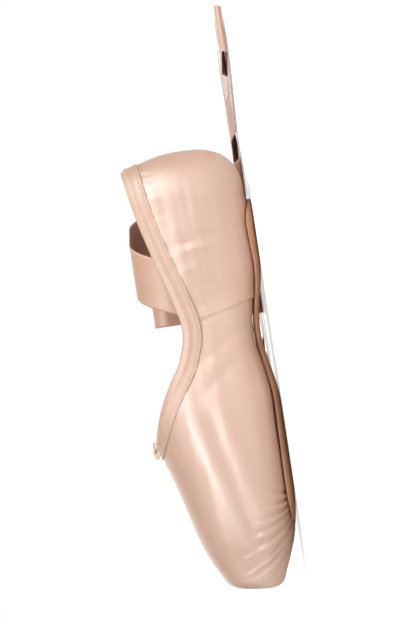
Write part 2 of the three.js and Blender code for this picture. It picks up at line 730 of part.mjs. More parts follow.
// From inside the right quarter, over its own collar, to the floor.
function ribbonOuter() {
  const ribbon = new Ribbon({
    at: new THREE.Vector3(RIBBON_X, -RIBBON_Y, RIBBON_FROM),
    along: new THREE.Vector3(0, Math.sin(RIBBON_LEAN), Math.cos(RIBBON_LEAN)),
    across: new THREE.Vector3(-1, 0, 0),
  });
  ribbon.forward(20).bend(degrees(184), 7).land(14, RIBBON_LIFT).forward(40);
  ribbon.foldTo(degrees(5), FOLD_RADIUS).forward(24).settle(degrees(20), 12, RIBBON_LIFT).forward(52);
  return ribbon.foldTo(degrees(210), FOLD_RADIUS).forward(60).settle(degrees(20), 12, RIBBON_LIFT);
}

// ---------------------------------------------------------------- assembly

const shoe = new THREE.Group();
shoe.name = "pointe_shoe";

function place(name, geometry, colour, roughness) {
  const material = new THREE.MeshStandardMaterial({ color: colour, roughness, metalness: 0 });
  const mesh = new THREE.Mesh(geometry, material);
  mesh.name = name;
  mesh.position.x = -LENGTH / 2;
  shoe.add(mesh);
}

const SATIN = 0xe6c9b6;
const LEATHER = 0xb98a63;
const CANVAS = 0xe9ddcf;

place("upper", upper(), SATIN, 0.4);
place("outsole", outsole(), LEATHER, 0.75);
place("insole", insole(), CANVAS, 0.85);
place("collar_binding", binding(), SATIN, 0.45);
place("drawstring_knot", knot(), SATIN, 0.6);
place("ribbon_inner", ribbonInner().geometry(RIBBON_LENGTH), SATIN, 0.35);
place("ribbon_outer", ribbonOuter().geometry(RIBBON_LENGTH), SATIN, 0.35);

export default shoe;
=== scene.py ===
# %% [markdown]
# # A pointe shoe in satin
# The shoe stands empty on its sole. The CAD model gives its size and its place, and this file gives it its
# looks. Everything is worked out in millimetres from the back of the heel, because that is how a last is
# measured, and is turned into the frame's metres when a mesh is made.

import math

import bpy
import numpy as np
from mathutils import Matrix, Vector


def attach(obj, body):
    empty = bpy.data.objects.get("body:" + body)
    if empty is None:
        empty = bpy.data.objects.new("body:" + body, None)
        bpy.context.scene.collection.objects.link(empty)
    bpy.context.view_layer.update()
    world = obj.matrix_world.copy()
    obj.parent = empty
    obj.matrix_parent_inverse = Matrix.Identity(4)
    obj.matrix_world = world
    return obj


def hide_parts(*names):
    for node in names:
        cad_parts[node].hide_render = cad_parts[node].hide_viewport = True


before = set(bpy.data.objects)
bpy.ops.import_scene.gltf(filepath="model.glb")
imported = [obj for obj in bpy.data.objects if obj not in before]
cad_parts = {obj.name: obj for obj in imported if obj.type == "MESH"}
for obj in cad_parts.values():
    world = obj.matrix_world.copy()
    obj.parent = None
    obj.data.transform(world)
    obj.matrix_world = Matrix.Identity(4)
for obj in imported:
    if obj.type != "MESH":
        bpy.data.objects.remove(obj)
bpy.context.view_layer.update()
LENGTH = 226.0

# %% [markdown]
# ## Camera
# The shoe is looked at square from its inner side, from a long way off so that it isn't distorted. The
# camera lies on its side, just above the floor: the toe points down, the sole is to the right, and a few
# degrees more of roll make the leaning platform lie level in the picture. Its turn is built from three
# directions at right angles, which is surer than three angles.

# %% Camera
VIEW_MIDDLE = Vector((-0.030, 0.0, 0.030))
VIEW_HEIGHT = 0.318
CAMERA_DISTANCE = 1.9
CAMERA_LIFT = math.radians(0.6)
ROLL = math.radians(8.5)
SENSOR_WIDTH = 36.0

picture_up = Vector((-math.cos(ROLL), 0, -math.sin(ROLL)))
bpy.ops.object.select_all(action="DESELECT")
bpy.ops.object.camera_add()
camera = bpy.context.object
camera.name = "camera"
back = Vector((0, math.cos(CAMERA_LIFT), math.sin(CAMERA_LIFT)))
right = picture_up.cross(back).normalized()
up = back.cross(right)
camera.matrix_world = Matrix.LocRotScale(
    VIEW_MIDDLE + back * CAMERA_DISTANCE, Matrix((right, up, back)).transposed().to_quaternion(), None
)
camera.data.sensor_width = SENSOR_WIDTH
camera.data.lens = SENSOR_WIDTH * CAMERA_DISTANCE / VIEW_HEIGHT
bpy.context.scene.camera = camera
print("lens", round(camera.data.lens), "mm")

# %% [markdown]
# ## Helpers
# Cloth is cut flat and then drawn over something, and the pieces here are made the same way: a flat grid is
# added as the pattern, and each of its points is moved to its place on the last. `cut_and_place` does this.
# Its grid runs from 0 to 1 along both sides.

# %% Helpers
MM = 0.001


def to_frame(points):
    """Millimetres from the back of the heel to metres in the frame."""
    return (np.asarray(points, float) - np.array([LENGTH / 2, 0, 0])) * MM


def deselect():
    bpy.ops.object.select_all(action="DESELECT")


def pick(pieces):
    """Selects these pieces only, and makes the first the active one."""
    deselect()
    for piece in pieces:
        piece.select_set(True)
    bpy.context.view_layer.objects.active = pieces[0]


def edit_mesh(piece, *steps):
    """Selects the whole mesh of a piece in edit mode, and takes each step there."""
    pick([piece])
    bpy.ops.object.mode_set(mode="EDIT")
    bpy.ops.mesh.select_all(action="SELECT")
    for step in steps:
        step()
    bpy.ops.object.mode_set(mode="OBJECT")


def merge_points(within):
    bpy.ops.mesh.remove_doubles(threshold=within * MM)


def turn_out():
    bpy.ops.mesh.normals_make_consistent(inside=False)


# %% Cut and place
MERGE = 0.02


def cut_and_place(name, columns, rows, place, cloth=None):
    """A grid of columns by rows faces, with place(s, t) for each of its points, in millimetres.
    cloth(s, t) gives each point's place on the flat cloth, for the weave to follow."""
    deselect()
    bpy.ops.mesh.primitive_grid_add(x_subdivisions=columns, y_subdivisions=rows, size=2)
    piece = bpy.context.object
    piece.name = piece.data.name = name
    flat = np.zeros(len(piece.data.vertices) * 3)
    piece.data.vertices.foreach_get("co", flat)
    pattern = flat.reshape(-1, 3) / 2 + 0.5
    placed = to_frame(place(pattern[:, 0], pattern[:, 1]))
    piece.data.vertices.foreach_set("co", placed.ravel())
    if cloth:
        corners = np.zeros(len(piece.data.loops), int)
        piece.data.loops.foreach_get("vertex_index", corners)
        flat_place = np.stack(cloth(pattern[:, 0], pattern[:, 1]), -1) * MM
        piece.data.uv_layers.active.data.foreach_set("uv", flat_place[corners].ravel())
    bpy.ops.object.shade_smooth()
    return piece


def rolled_up(name, columns, rows, place, within=MERGE):
    """A grid whose edges meet, such as a tube: it is placed, and its doubled points are merged."""
    piece = cut_and_place(name, columns, rows, place)
    edit_mesh(piece, lambda: merge_points(within), turn_out)
    print(name, len(piece.data.polygons), "faces")
    return piece


def join_pieces(name, pieces):
    pick(pieces)
    bpy.ops.object.join()
    whole = bpy.context.object
    whole.name = whole.data.name = name
    return whole


# %% Small sums


def unit(v):
    return v / np.maximum(1e-9, np.linalg.norm(v, axis=-1, keepdims=True))


def smooth(t):
    t = np.clip(t, 0, 1)
    return t * t * (3 - 2 * t)


def bump(d, width):
    """A rounded rise, 1 at d = 0 and nothing much past two widths."""
    return np.exp(-((d / width) ** 2))


# %% [markdown]
# ## The last
# A pointe shoe is drawn over a straight last, the same for either foot. Each section is a squarish oval:
# its width, the heights of its widest line and its top, and how square it is below and above that line. The
# rows are shares of the shoe's length, ball width and throat height, and a smooth curve goes through them.
# It is the same table as the CAD model's, so that the cloth lies exactly on the solid that it stands for.

# %% Sizes and sections
BALL_WIDTH = 83.0
THROAT_HEIGHT = 65.6
HEEL_REACH, HEEL_ROUND, HEEL_WIDEST = 27.0, 2.1, 0.46
HEEL_BELOW, HEEL_ABOVE = 2.45, 2.0
SOLE_GAP = 0.3
PLATFORM_EDGE = 4.0
PLATFORM_LEAN, PLATFORM_PIVOT, LEAN_FROM = 0.12, 16.7, 194.0
QUARTER_WALL, BOX_WALL, BOX_FROM, BOX_TO = 1.8, 3.2, 122.0, 168.0
SECTIONS = np.array(
    [
        # along, width, widest, top, below, above
        (0.122, 0.663, 0.433, 1.206, 2.5, 2.0),
        (0.225, 0.690, 0.420, 1.206, 2.6, 2.0),
        (0.338, 0.735, 0.400, 1.190, 2.8, 2.1),
        (0.450, 0.838, 0.386, 1.136, 3.0, 2.25),
        (0.536, 0.937, 0.386, 1.082, 3.0, 2.35),
        (0.608, 0.992, 0.386, 1.026, 3.0, 2.4),
        (0.676, 1.000, 0.386, 0.971, 3.0, 2.4),
        (0.743, 0.978, 0.386, 0.903, 2.9, 2.4),
        (0.811, 0.912, 0.386, 0.839, 2.8, 2.4),
        (0.878, 0.806, 0.388, 0.777, 2.6, 2.4),
        (0.937, 0.680, 0.395, 0.709, 2.5, 2.4),
        (1.000, 0.548, 0.405, 0.605, 2.5, 2.5),
    ]
)
COLLAR = np.array(
    [
        # along, height
        (0.0, 0.975),
        (0.135, 0.893),
        (0.234, 0.807),
        (0.324, 0.715),
        (0.405, 0.660),
        (0.468, 0.715),
        (0.532, 0.845),
        (0.586, 0.935),
        (146.5 / LENGTH, 1.0),
    ]
)
SOLE = np.array(
    [
        # x, half width, thickness
        (29, 17.5, 1.6),
        (45, 17.5, 2.0),
        (62, 16.0, 2.4),
        (80, 13.0, 2.7),
        (96, 12.0, 3.0),
        (112, 14.5, 3.2),
        (130, 21.0, 3.4),
        (149, 24.7, 3.4),
        (163, 25.5, 3.4),
        (179, 24.5, 3.2),
        (199, 20.0, 1.5),
        (226, 20.0, 1.2),
    ]
)


def smooth_curve(xs, ys, extend=False):
    """A curve through the points with no overshoot between them."""
    xs, ys = np.asarray(xs, float), np.asarray(ys, float)
    gaps = np.diff(xs)
    slopes = np.diff(ys) / gaps
    tangents = np.empty_like(ys)
    tangents[0], tangents[-1] = slopes[0], slopes[-1]
    for i in range(1, len(xs) - 1):
        if slopes[i - 1] * slopes[i] <= 0:
            tangents[i] = 0
        else:
            w1, w2 = 2 * gaps[i] + gaps[i - 1], gaps[i] + 2 * gaps[i - 1]
            tangents[i] = (w1 + w2) / (w1 / slopes[i - 1] + w2 / slopes[i])

    def at(x):
        x = np.asarray(x, float)
        i = np.clip(np.searchsorted(xs, x, side="right") - 1, 0, len(xs) - 2)
        t = (np.clip(x, xs[0], xs[-1]) - xs[i]) / gaps[i]
        value = (
            ys[i] * (2 * t**3 - 3 * t**2 + 1)
            + tangents[i] * gaps[i] * (t**3 - 2 * t**2 + t)
            + ys[i + 1] * (3 * t**2 - 2 * t**3)
            + tangents[i + 1] * gaps[i] * (t**3 - t**2)
        )
        return value + (tangents[0] * np.minimum(0, x - xs[0]) if extend else 0)

    return at


along = SECTIONS[:, 0] * LENGTH
half_width = smooth_curve(along, SECTIONS[:, 1] * BALL_WIDTH / 2, True)
widest_height = smooth_curve(along, SECTIONS[:, 2] * THROAT_HEIGHT, True)
top_height = smooth_curve(along, SECTIONS[:, 3] * THROAT_HEIGHT, True)
square_below = smooth_curve(along, SECTIONS[:, 4], True)
square_above = smooth_curve(along, SECTIONS[:, 5], True)
collar_height = smooth_curve(COLLAR[:, 0] * LENGTH, COLLAR[:, 1] * THROAT_HEIGHT, True)
sole_half = smooth_curve(SOLE[:, 0], SOLE[:, 1])
sole_thick = smooth_curve(SOLE[:, 0], SOLE[:, 2])


def sole_line(x):
    """The outsole's underside seen from the side: arched at the waist, sprung at the toe and the heel."""
    arch = 2.5 * (1 - np.cos(2 * np.pi * np.clip((x - 59) / 75, 0, 1)))
    return arch + 0.0043 * np.maximum(0, x - 175) ** 2 + 0.02 * np.maximum(0, 33 - x) ** 2


def wall_at(x):
    return QUARTER_WALL + (BOX_WALL - QUARTER_WALL) * smooth((x - BOX_FROM) / (BOX_TO - BOX_FROM))


# %% [markdown]
# A rib is half a section. Along the sides the ribs stand across the shoe, and round the heel they fan out
# from one upright axis. `Ribs` holds many of them at once, so that whole grids are worked out in one go.

# %% Ribs of the last
class Ribs:
    def __init__(self, x, fan):
        """x is where each rib stands, and fan its turn round the heel, 0 at the side."""
        x, fan = np.broadcast_arrays(np.asarray(x, float), np.asarray(fan, float))
        past = np.maximum(0, x - (LENGTH - PLATFORM_EDGE))
        drawn = PLATFORM_EDGE - np.sqrt(np.maximum(0, PLATFORM_EDGE**2 - past**2))
        self.x = x
        self.half = half_width(x) - drawn
        self.widest = widest_height(x)
        self.bottom = sole_line(x) + sole_thick(x) + SOLE_GAP + drawn
        self.top = top_height(x) - drawn
        self.below = square_below(x)
        self.above = square_above(x)
        share = np.sin(fan) ** 2
        across = (np.abs(np.cos(fan)) / self.half) ** HEEL_ROUND
        back = (np.abs(np.sin(fan)) / HEEL_REACH) ** HEEL_ROUND
        self.half = np.where(fan > 0, (across + back) ** (-1 / HEEL_ROUND), self.half)
        self.widest = self.widest + (HEEL_WIDEST * THROAT_HEIGHT - self.widest) * share
        self.below = self.below + (HEEL_BELOW - self.below) * share
        self.above = self.above + (HEEL_ABOVE - self.above) * share
        self.out_x, self.out_y = -np.sin(fan), np.cos(fan)

    def width_at(self, z):
        share = np.clip((z - self.widest) / (self.top - self.widest), 0, 1)
        return self.half * (1 - share**self.above) ** (1 / self.above)

    def point(self, angle, grown=0.0):
        """The place on each rib at an angle above its widest line, with the wall moved out by grown."""
        up = angle >= 0
        high = np.where(up, self.top - self.widest, self.widest - self.bottom) + grown
        power = np.where(up, self.above, self.below)
        c, s = np.abs(np.cos(angle)), np.abs(np.sin(angle))
        reach = ((c / (self.half + grown)) ** power + (s / high) ** power) ** (-1 / power)
        out, z = reach * np.cos(angle), self.widest + reach * np.sin(angle)
        lean = smooth((self.x - LEAN_FROM) / (LENGTH - LEAN_FROM))
        x = self.x + grown * lean + out * self.out_x
        return np.stack([x - PLATFORM_LEAN * (z - PLATFORM_PIVOT) * lean, out * self.out_y, z], -1)


def find_throat():
    low, high = 126.0, 151.0
    for _ in range(40):
        middle = (low + high) / 2
        low, high = (middle, high) if collar_height(middle) < top_height(middle) else (low, middle)
    return low


THROAT = find_throat()
print("throat at", round(THROAT, 1), "mm, width at the ball", round(2 * float(half_width(153)), 1), "mm")

# %% [markdown]
# ## Stations
# The upper's grid has one column for each rib, from the middle of the platform over its rim, along the box
# to the throat, along the collar and round to the back seam. They stand closer where there is more to see,
# and near the throat, where the collar's edge turns across the shoe. Its rows run from the middle of the
# sole up to the collar, or to the top of the vamp in front of the throat.

# %% Stations of the upper


def stations(fine):
    """Rib places, fans and shares of the platform. A larger fine gives fewer of them."""

    def count(whole):
        return max(3, round(whole / fine))

    cap = np.linspace(0, 1, count(12))[:-1] ** 0.8
    rim = LENGTH - PLATFORM_EDGE * (1 - np.cos(np.linspace(0, np.pi / 2, count(9))))
    toe = np.linspace(LENGTH - PLATFORM_EDGE, 180, count(76))[1:]
    box = np.linspace(180, THROAT, count(26))[1:]
    throat = THROAT - (THROAT - 128) * np.linspace(0, 1, count(18))[1:] ** 2
    waist = np.linspace(128, 92, count(24))[1:]
    seam = np.linspace(92, 74, count(42))[1:]
    quarter = np.linspace(74, HEEL_REACH, count(46))[1:]
    heel = np.linspace(0, np.pi / 2, count(40))[1:]
    places = [np.full(len(cap), LENGTH), rim, toe, box, throat, waist, seam, quarter]
    x = np.concatenate([*places, np.full(len(heel), HEEL_REACH)])
    fan = np.concatenate([np.zeros(len(x) - len(heel)), heel])
    share = np.concatenate([cap, np.ones(len(x) - len(cap))])
    return x, fan, share


def meet_collar(ribs):
    """Where each rib meets the collar's edge: its place along the shoe, how far out, and how high. Round
    the heel these depend on each other, so they are guessed and corrected until they agree."""
    at = ribs.x
    for _ in range(12):
        high = collar_height(np.maximum(0, at))
        out = ribs.width_at(high)
        at = ribs.x + out * ribs.out_x
    return at, out, high


def collar_angle(x, fan):
    """The angle at which each rib meets the collar's edge."""
    ribs = Ribs(x, fan)
    _, out, high = meet_collar(ribs)
    return np.where(x >= THROAT, np.pi / 2, np.arctan2(high - ribs.widest, out))


def row_angles(x, fan, rows):
    """Angles of the rows on each rib. They are the same on every rib, so that the rows run smoothly along
    the shoe, but for the last ones, which close up to the collar's edge where the binding hides them."""
    top = collar_angle(x, fan)[:, None]
    even = np.pi * (np.linspace(0, 1, rows + 1)[None, :] - 0.5)
    margin = np.radians(13)
    share = (top - margin + np.pi / 2) / np.pi
    t = (even + np.pi / 2) / np.pi
    closing = top - margin + margin * (t - share) / np.maximum(1e-6, 1 - share)
    return np.where((t <= share) | (top >= np.pi / 2), even, closing)


def upper_grid(side, fine, grown, rows):
    """The wall's points as an array of columns by rows, on the left for side 1 and on the right for -1."""
    x, fan, share = stations(fine)
    angle = row_angles(x, fan, rows)
    ribs = Ribs(x[:, None], fan[:, None])
    points = ribs.point(angle, grown(x)[:, None] if callable(grown) else grown)
    middle = np.array([0.0, 0.0, 1.0]) * ribs.widest[..., None]
    lean = PLATFORM_LEAN * (ribs.widest - PLATFORM_PIVOT)
    middle = middle + np.stack([LENGTH - lean, 0 * lean, 0 * lean], -1)
    cap = (share < 1)[:, None, None]
    points = np.where(cap, middle + (points - middle) * share[:, None, None], points)
    points[..., 1] *= side
    return points


def upper_normals(side, fine, rows):
    """Directions out of the last at the same places, from its own slopes and not the grid's."""
    x, fan, share = stations(fine)
    angle = row_angles(x, fan, rows)
    x, fan = x[:, None], fan[:, None]
    step = 1e-3
    heel = fan > 0
    ahead = Ribs(np.where(heel, x, np.minimum(LENGTH, x + 10 * step)), np.where(heel, fan - step, fan))
    behind = Ribs(np.where(heel, x, x - 10 * step), np.where(heel, fan + step, fan))
    here = Ribs(x, fan)
    onward = ahead.point(angle) - behind.point(angle)
    above, below = np.minimum(angle + step, np.pi / 2), np.maximum(angle - step, -np.pi / 2)
    upward = here.point(above) - here.point(below)
    n = unit(np.cross(onward, upward))
    point = here.point(angle)
    axis = np.stack([here.x + 0 * angle, 0 * angle, here.widest + 0 * angle], -1)
    n *= np.where(((point - axis) * n).sum(-1, keepdims=True) < 0, -1, 1)
    n[share < 1] = unit(np.array([1.0, 0, PLATFORM_LEAN]))
    n[np.abs(point[..., 1]) < 1e-6, 1] = 0
    n[..., 1] *= side
    return unit(n)


# %% [markdown]
# ## Folds and seams of the satin
# Satin has no stretch, so its creases are part of the shoe's shape and are given one by one, in millimetres
# out of the wall. Under the toe, the cloth is gathered in knife pleats that run from the sole's tip and fade
# out before the platform. At the side, the quarter laps over the vamp along a seam that leans forward to
# the collar. Behind it the empty quarter has a few soft upright creases. The back has a closed seam. Below
# the binding, the drawstring gathers the cloth a little.

# %% Pleats under the toe
rng = np.random.default_rng(7)
PLEAT_X, PLEAT_HEIGHT = 182.0, 3.0
PLEAT_COUNT, FRONT_PLEATS = 13, slice(3, 8)
PLEATS = {}
for side in (1, -1):
    angles = np.radians(np.linspace(-6, 108, PLEAT_COUNT) + rng.uniform(-1.6, 1.6, PLEAT_COUNT))
    depths = rng.uniform(0.75, 1.1, PLEAT_COUNT)
    depths[FRONT_PLEATS] *= 1.35
    reaches = 18 + 17 * bump(angles - 0.9, 0.45) + rng.uniform(-2, 2, PLEAT_COUNT)
    PLEATS[side] = angles, depths, reaches
print(2 * (PLEAT_COUNT - 1), "pleats")


def pleats(x, arc, side):
    """Knife pleats fanned round the front of the sole: each rises slowly towards the heel and drops
    into the next."""
    angles, depths, reaches = PLEATS[side]
    angle = np.arctan2(arc, x - PLEAT_X)
    i = np.clip(np.searchsorted(angles, angle), 1, PLEAT_COUNT - 1)
    t = np.clip((angle - angles[i - 1]) / (angles[i] - angles[i - 1]), 0, 1)
    slope = 1 - np.clip(1 - t / 0.8, 0, 1) ** 1.2
    tooth = np.where(t > 0.8, smooth((1 - t) / 0.2), slope) - 0.52
    sole_edge = 1 / np.sqrt((np.cos(angle) / 17) ** 2 + (np.sin(angle) / 25) ** 2)
    past = np.hypot(x - PLEAT_X, arc) - sole_edge
    reach = reaches[i - 1] * (1 - t) + reaches[i] * t
    fade = np.clip(1 - past / reach, 0, 1) ** 0.9 * smooth((past + 5) / 3)
    ends = smooth((angles[-1] - angle) / 0.2) * smooth((224 - x) / 5)
    return PLEAT_HEIGHT * tooth * depths[i] * fade * ends


# %% [markdown]
# A crease is a long soft swelling or a long hollow, and neighbours of both kinds make the cloth look loose.
# One row of the table is one crease. They are few, they cross the wall where a hand would press it in, and
# those of the other side are moved a little, so that the two sides don't look like copies.

# %% Creases, seams and folds
CREASES = [
    # x at the middle, height, half length, width, depth, lean
    (51.0, 33.0, 11.0, 2.5, 0.65, 0.12),
    (46.0, 31.0, 12.0, 2.2, -0.7, 0.08),
    (61.0, 37.0, 7.0, 3.4, 0.6, -0.05),
    (71.0, 26.0, 12.0, 1.7, 0.35, 0.12),
    (96.0, 19.0, 9.0, 2.6, -0.45, 0.55),
    (103.0, 22.0, 12.0, 3.2, 0.45, 0.6),
    (114.0, 26.0, 12.0, 3.0, -0.35, 0.7),
    (43.0, 22.0, 10.0, 3.0, 0.35, -0.25),
    (78.0, 23.0, 15.0, 11.0, -1.1, 0.2),
    (38.0, 32.0, 14.0, 12.0, 0.9, 0.2),
    (101.0, 19.0, 11.0, 10.0, -0.8, 0.3),
]
CREASE_DEPTH, FAR_SIDE_SHIFT = 1.25, 2.5
RIBBON_AT, RIBBON_HALF = 75.0, 12.0
DENT_SHARE = 0.7


def seam_x(z):
    return 79 + 8 * (z - 5) / 33


def side_seam(x, z):
    """The quarter's folded edge laps over the vamp. A groove is in front of it and a sewn line behind."""
    d = x - seam_x(z)
    low = smooth((z - 3) / 3)
    lap = 0.6 * smooth(1 + d / 9) * (d < 0)
    sewn = 0.16 * bump(d + 2.2, 0.5) * (0.6 + 0.4 * np.sin(z * 2.4))
    return (lap - 0.4 * bump(d - 0.6, 0.6) - sewn) * low


def creases(x, z, side):
    out = 0
    for along, height, half_length, width, depth, lean in CREASES:
        off = x - (along + (FAR_SIDE_SHIFT if side < 0 else 0) + lean * (z - height))
        out = out + CREASE_DEPTH * depth * bump(off, width) * bump(z - height, half_length)
    return out


def box_folds(x, y, z, side):
    """Long tension folds down the box, and faint drawn threads all round."""
    bottom = sole_line(x) + sole_thick(x)
    high = (z - bottom) / (top_height(x) - bottom)
    fold = high - 0.52 + 0.0016 * (x - 138)
    folds = 0.50 * bump(fold - 0.15, 0.08) + 0.42 * bump(fold + 0.14, 0.07) - 0.85 * bump(fold, 0.065)
    folds = folds * smooth((x - 112) / 30) * smooth((222 - x) / 32)
    around = np.arctan2(z - widest_height(x), np.hypot(np.maximum(0, HEEL_REACH - x), y))
    sway = 1.1 * np.sin(x * 0.031 + side) + 0.5 * np.sin(x * 0.083)
    drawn = 0.08 * np.sin(around * 17 + sway) + 0.045 * np.sin(around * 31 - 1.4 * sway + 2)
    calm = smooth((222 - x) / 30) * smooth((x - 8) / 20) * smooth((0.95 - high) / 0.35)
    return folds + drawn * calm


def back_seam(x, y):
    ridges = 0.25 * bump(np.abs(y) - 1.6, 1.0)
    return smooth((14 - x) / 6) * (ridges - 0.35 * bump(y, 0.45))


def gathers(x, z):
    """Below the binding, where the drawstring draws the cloth in, and where a ribbon is sewn on."""
    below = collar_height(np.maximum(0, x)) - z
    wave = np.sin(x * 0.93 + 1.3 * np.sin(x * 0.21)) * 0.6 + np.sin(x * 1.71 + 0.8) * 0.4
    drawn = 0.22 * wave * smooth((THROAT - 4 - x) / 20) * bump(below - 8, 5.5) * (z > 20)
    off = np.abs(x - RIBBON_AT)
    across = bump(below - 17, 1.2) * smooth((RIBBON_HALF + 0.5 - off) / 3)
    beside = bump(off - RIBBON_HALF, 1.2) * bump(below - 13, 4.5)
    return drawn - 0.12 * (across + beside)


def throat_crescent(x, y, z, side):
    """A small crescent below the tape at the throat, where the drawstring's ends are pulled tight."""
    front = x - (THROAT + 11.5 - 0.03 * y**2)
    fold = 0.4 * bump(front, 1.5) - 0.3 * bump(front + 2.6, 1.4)
    return fold * bump(y + 1.5 * side, 6) * (z > 40)


# %% Relief of the satin


def relief(points, side):
    """How far the satin stands out of the last at each point of the grid."""
    x, y, z = points[..., 0], points[..., 1], points[..., 2]
    arc = along_rows(points)
    uneven = 0.14 * np.sin(x * 0.115 + 1.0) * np.sin(z * 0.19 + y * 0.05) * smooth((200 - x) / 40)
    out = pleats(x, arc, side) + side_seam(x, z) + creases(x, z, side) + box_folds(x, y, z, side)
    out = out + back_seam(x, y) + gathers(x, z) + throat_crescent(x, y, z, side) + uneven
    # a dent stops short of the lining
    limit = DENT_SHARE * wall_at(x)
    return np.where(out < 0, -limit * np.tanh(-out / limit), out)


def along_rows(points):
    """How far each point is from the sole's middle, measured along its rib."""
    steps = np.diff(points, axis=1, prepend=points[:, :1])
    return np.cumsum(np.linalg.norm(steps, axis=-1), axis=1)


print(len(CREASES), "creases on each side")

# %% [markdown]
# ## Upper
# The upper is satin pasted over canvas and pulled tight over the last. A sheet could be shrink-wrapped or
# simulated, but then its folds fall where they like. So each half is cut as one grid, drawn over the last,
# lifted by the relief and joined to the other half along the middle of the vamp, the sole and the back
# seam. The cloth coordinates are lengths on the last, so the weave isn't stretched.

# %% Satin upper
ROWS, LINING_ROWS, LINING_FINE = 124, 64, 2.2
INSIDE = to_frame([140, 0, 28])


def place_half(name, side, points, x, cloth=None):
    """A grid of one side's points, with its edges brought onto the shoe's middle plane."""
    points[:, 0, 1] = 0
    points[x >= THROAT, -1, 1] = 0
    points[-1, :, 1] = 0
    columns, rows = points.shape[0] - 1, points.shape[1] - 1

    def at(s, t):
        return np.rint(s * columns).astype(int), np.rint(t * rows).astype(int)

    name = f"{name}_{'left' if side > 0 else 'right'}"
    return cut_and_place(
        name, columns, rows, lambda s, t: points[at(s, t)], cloth and (lambda s, t: cloth(*at(s, t)))
    )


def satin_half(side):
    points = upper_grid(side, 1.0, 0.0, ROWS)
    x, fan, share = stations(1.0)
    whole = Ribs(x[:, None], fan[:, None]).point(np.linspace(-np.pi / 2, np.pi / 2, ROWS + 1))
    girth = np.linalg.norm(np.diff(whole, axis=1), axis=-1).sum(1) * share
    weft = along_rows(points) - girth[:, None]
    points = points + upper_normals(side, 1.0, ROWS) * relief(points, side)[..., None]
    middle = points[:, ROWS // 2]
    warp = np.cumsum(np.linalg.norm(np.diff(middle, axis=0, prepend=middle[:1]), axis=-1))
    return place_half("satin", side, points, x, lambda i, j: (warp[i], weft[i, j] * side))


def face_out(piece, centre, away=1):
    """Merges the seams and turns the faces so that they look away from a point inside, or towards it."""
    edit_mesh(piece, lambda: merge_points(MERGE), turn_out)
    looks = [math.copysign(p.area, p.normal.dot(p.center - Vector(centre))) for p in piece.data.polygons]
    if sum(looks) * away < 0:
        edit_mesh(piece, bpy.ops.mesh.flip_normals)
    print(piece.name, len(looks), "faces")


upper = join_pieces("upper_satin", [satin_half(1), satin_half(-1)])
face_out(upper, INSIDE)

# %% [markdown]
# ## Lining
# Inside the satin is plain canvas, pasted to it. It shows through the collar, so it is a surface of its
# own, one wall's thickness in, and it looks inwards. It has no folds, because the paste keeps it flat, and
# so its grid is coarser.

# %% Lining


def lining_half(side):
    points = upper_grid(side, LINING_FINE, lambda x: -wall_at(x), LINING_ROWS)
    return place_half("lining", side, points, stations(LINING_FINE)[0])


lining = join_pieces("lining", [lining_half(1), lining_half(-1)])
face_out(lining, INSIDE, away=-1)

# %% [markdown]
# ## Collar
# The binding needs the collar's edge as a path: its places, the direction out of the wall and the direction
# down it. Both directions come from the last itself.

# %% The collar's edge


def collar_path(count):
    steps = 320
    i = np.arange(steps) / steps
    x = THROAT + (HEEL_REACH - THROAT) * i**2
    z = collar_height(x)
    y = Ribs(x, 0.0).width_at(z)
    y[0] = 0
    left = [np.stack([x, y, z], -1)]
    ribs = Ribs(HEEL_REACH, np.linspace(0, np.pi / 2, 81))
    at, out, high = meet_collar(ribs)
    left.append(np.stack([at, out * ribs.out_y, high], -1))
    left = np.concatenate(left)
    loop = np.concatenate([left, left[1:-1][::-1] * (1, -1, 1)])
    closed = np.concatenate([loop, loop[:1]])
    run = np.concatenate([[0], np.cumsum(np.linalg.norm(np.diff(closed, axis=0), axis=1))])
    even = np.linspace(0, run[-1], count + 1)[:-1]
    return np.stack([np.interp(even, run, closed[:, k]) for k in range(3)], -1), run[-1]


def distance_out(x, y):
    return np.where(x < HEEL_REACH, np.hypot(HEEL_REACH - x, y), np.abs(y))


def ribs_through(x, y):
    """The rib that each place is on, and how far out along it."""
    fan = np.where(x < HEEL_REACH, np.arctan2(np.maximum(0, HEEL_REACH - x), np.abs(y)), 0.0)
    return Ribs(np.maximum(x, HEEL_REACH), fan), distance_out(x, y)


def on_last(points, grown):
    """Moves points along their rib's own ray onto the wall moved out by grown."""
    ribs, out = ribs_through(points[..., 0], points[..., 1])
    placed = ribs.point(np.arctan2(points[..., 2] - ribs.widest, out), grown)
    placed[..., 1] *= np.where(points[..., 1] < 0, -1.0, 1.0)
    return placed


COLLAR_COUNT = 640
edge, COLLAR_RUN = collar_path(COLLAR_COUNT)
edge_along = unit(np.roll(edge, -2, 0) - np.roll(edge, 2, 0))


def wall_normal(points):
    """The way out of the wall: the way in which the last grows fastest."""
    step = 0.05

    def level(p):
        ribs, out = ribs_through(p[..., 0], p[..., 1])
        high = p[..., 2] - ribs.widest
        on = ribs.point(np.arctan2(high, out))
        return np.hypot(out, high) / np.hypot(distance_out(on[..., 0], on[..., 1]), on[..., 2] - ribs.widest)

    here = level(points)
    n = np.stack([(level(points + step * way) - here) / step for way in np.eye(3)], -1)
    n[..., 1] = np.where(np.abs(points[..., 1]) < 0.2, 0, n[..., 1])
    return unit(n)


edge_out = wall_normal(edge)
edge_down = unit(np.cross(edge_out, edge_along))
edge_down *= np.where(edge_down[:, 2:3] > 0, -1, 1)
edge_out = unit(np.cross(edge_along, edge_down))
edge_out *= np.where((edge_out * wall_normal(edge)).sum(-1, keepdims=True) < 0, -1, 1)
print("collar edge", round(COLLAR_RUN), "mm round")

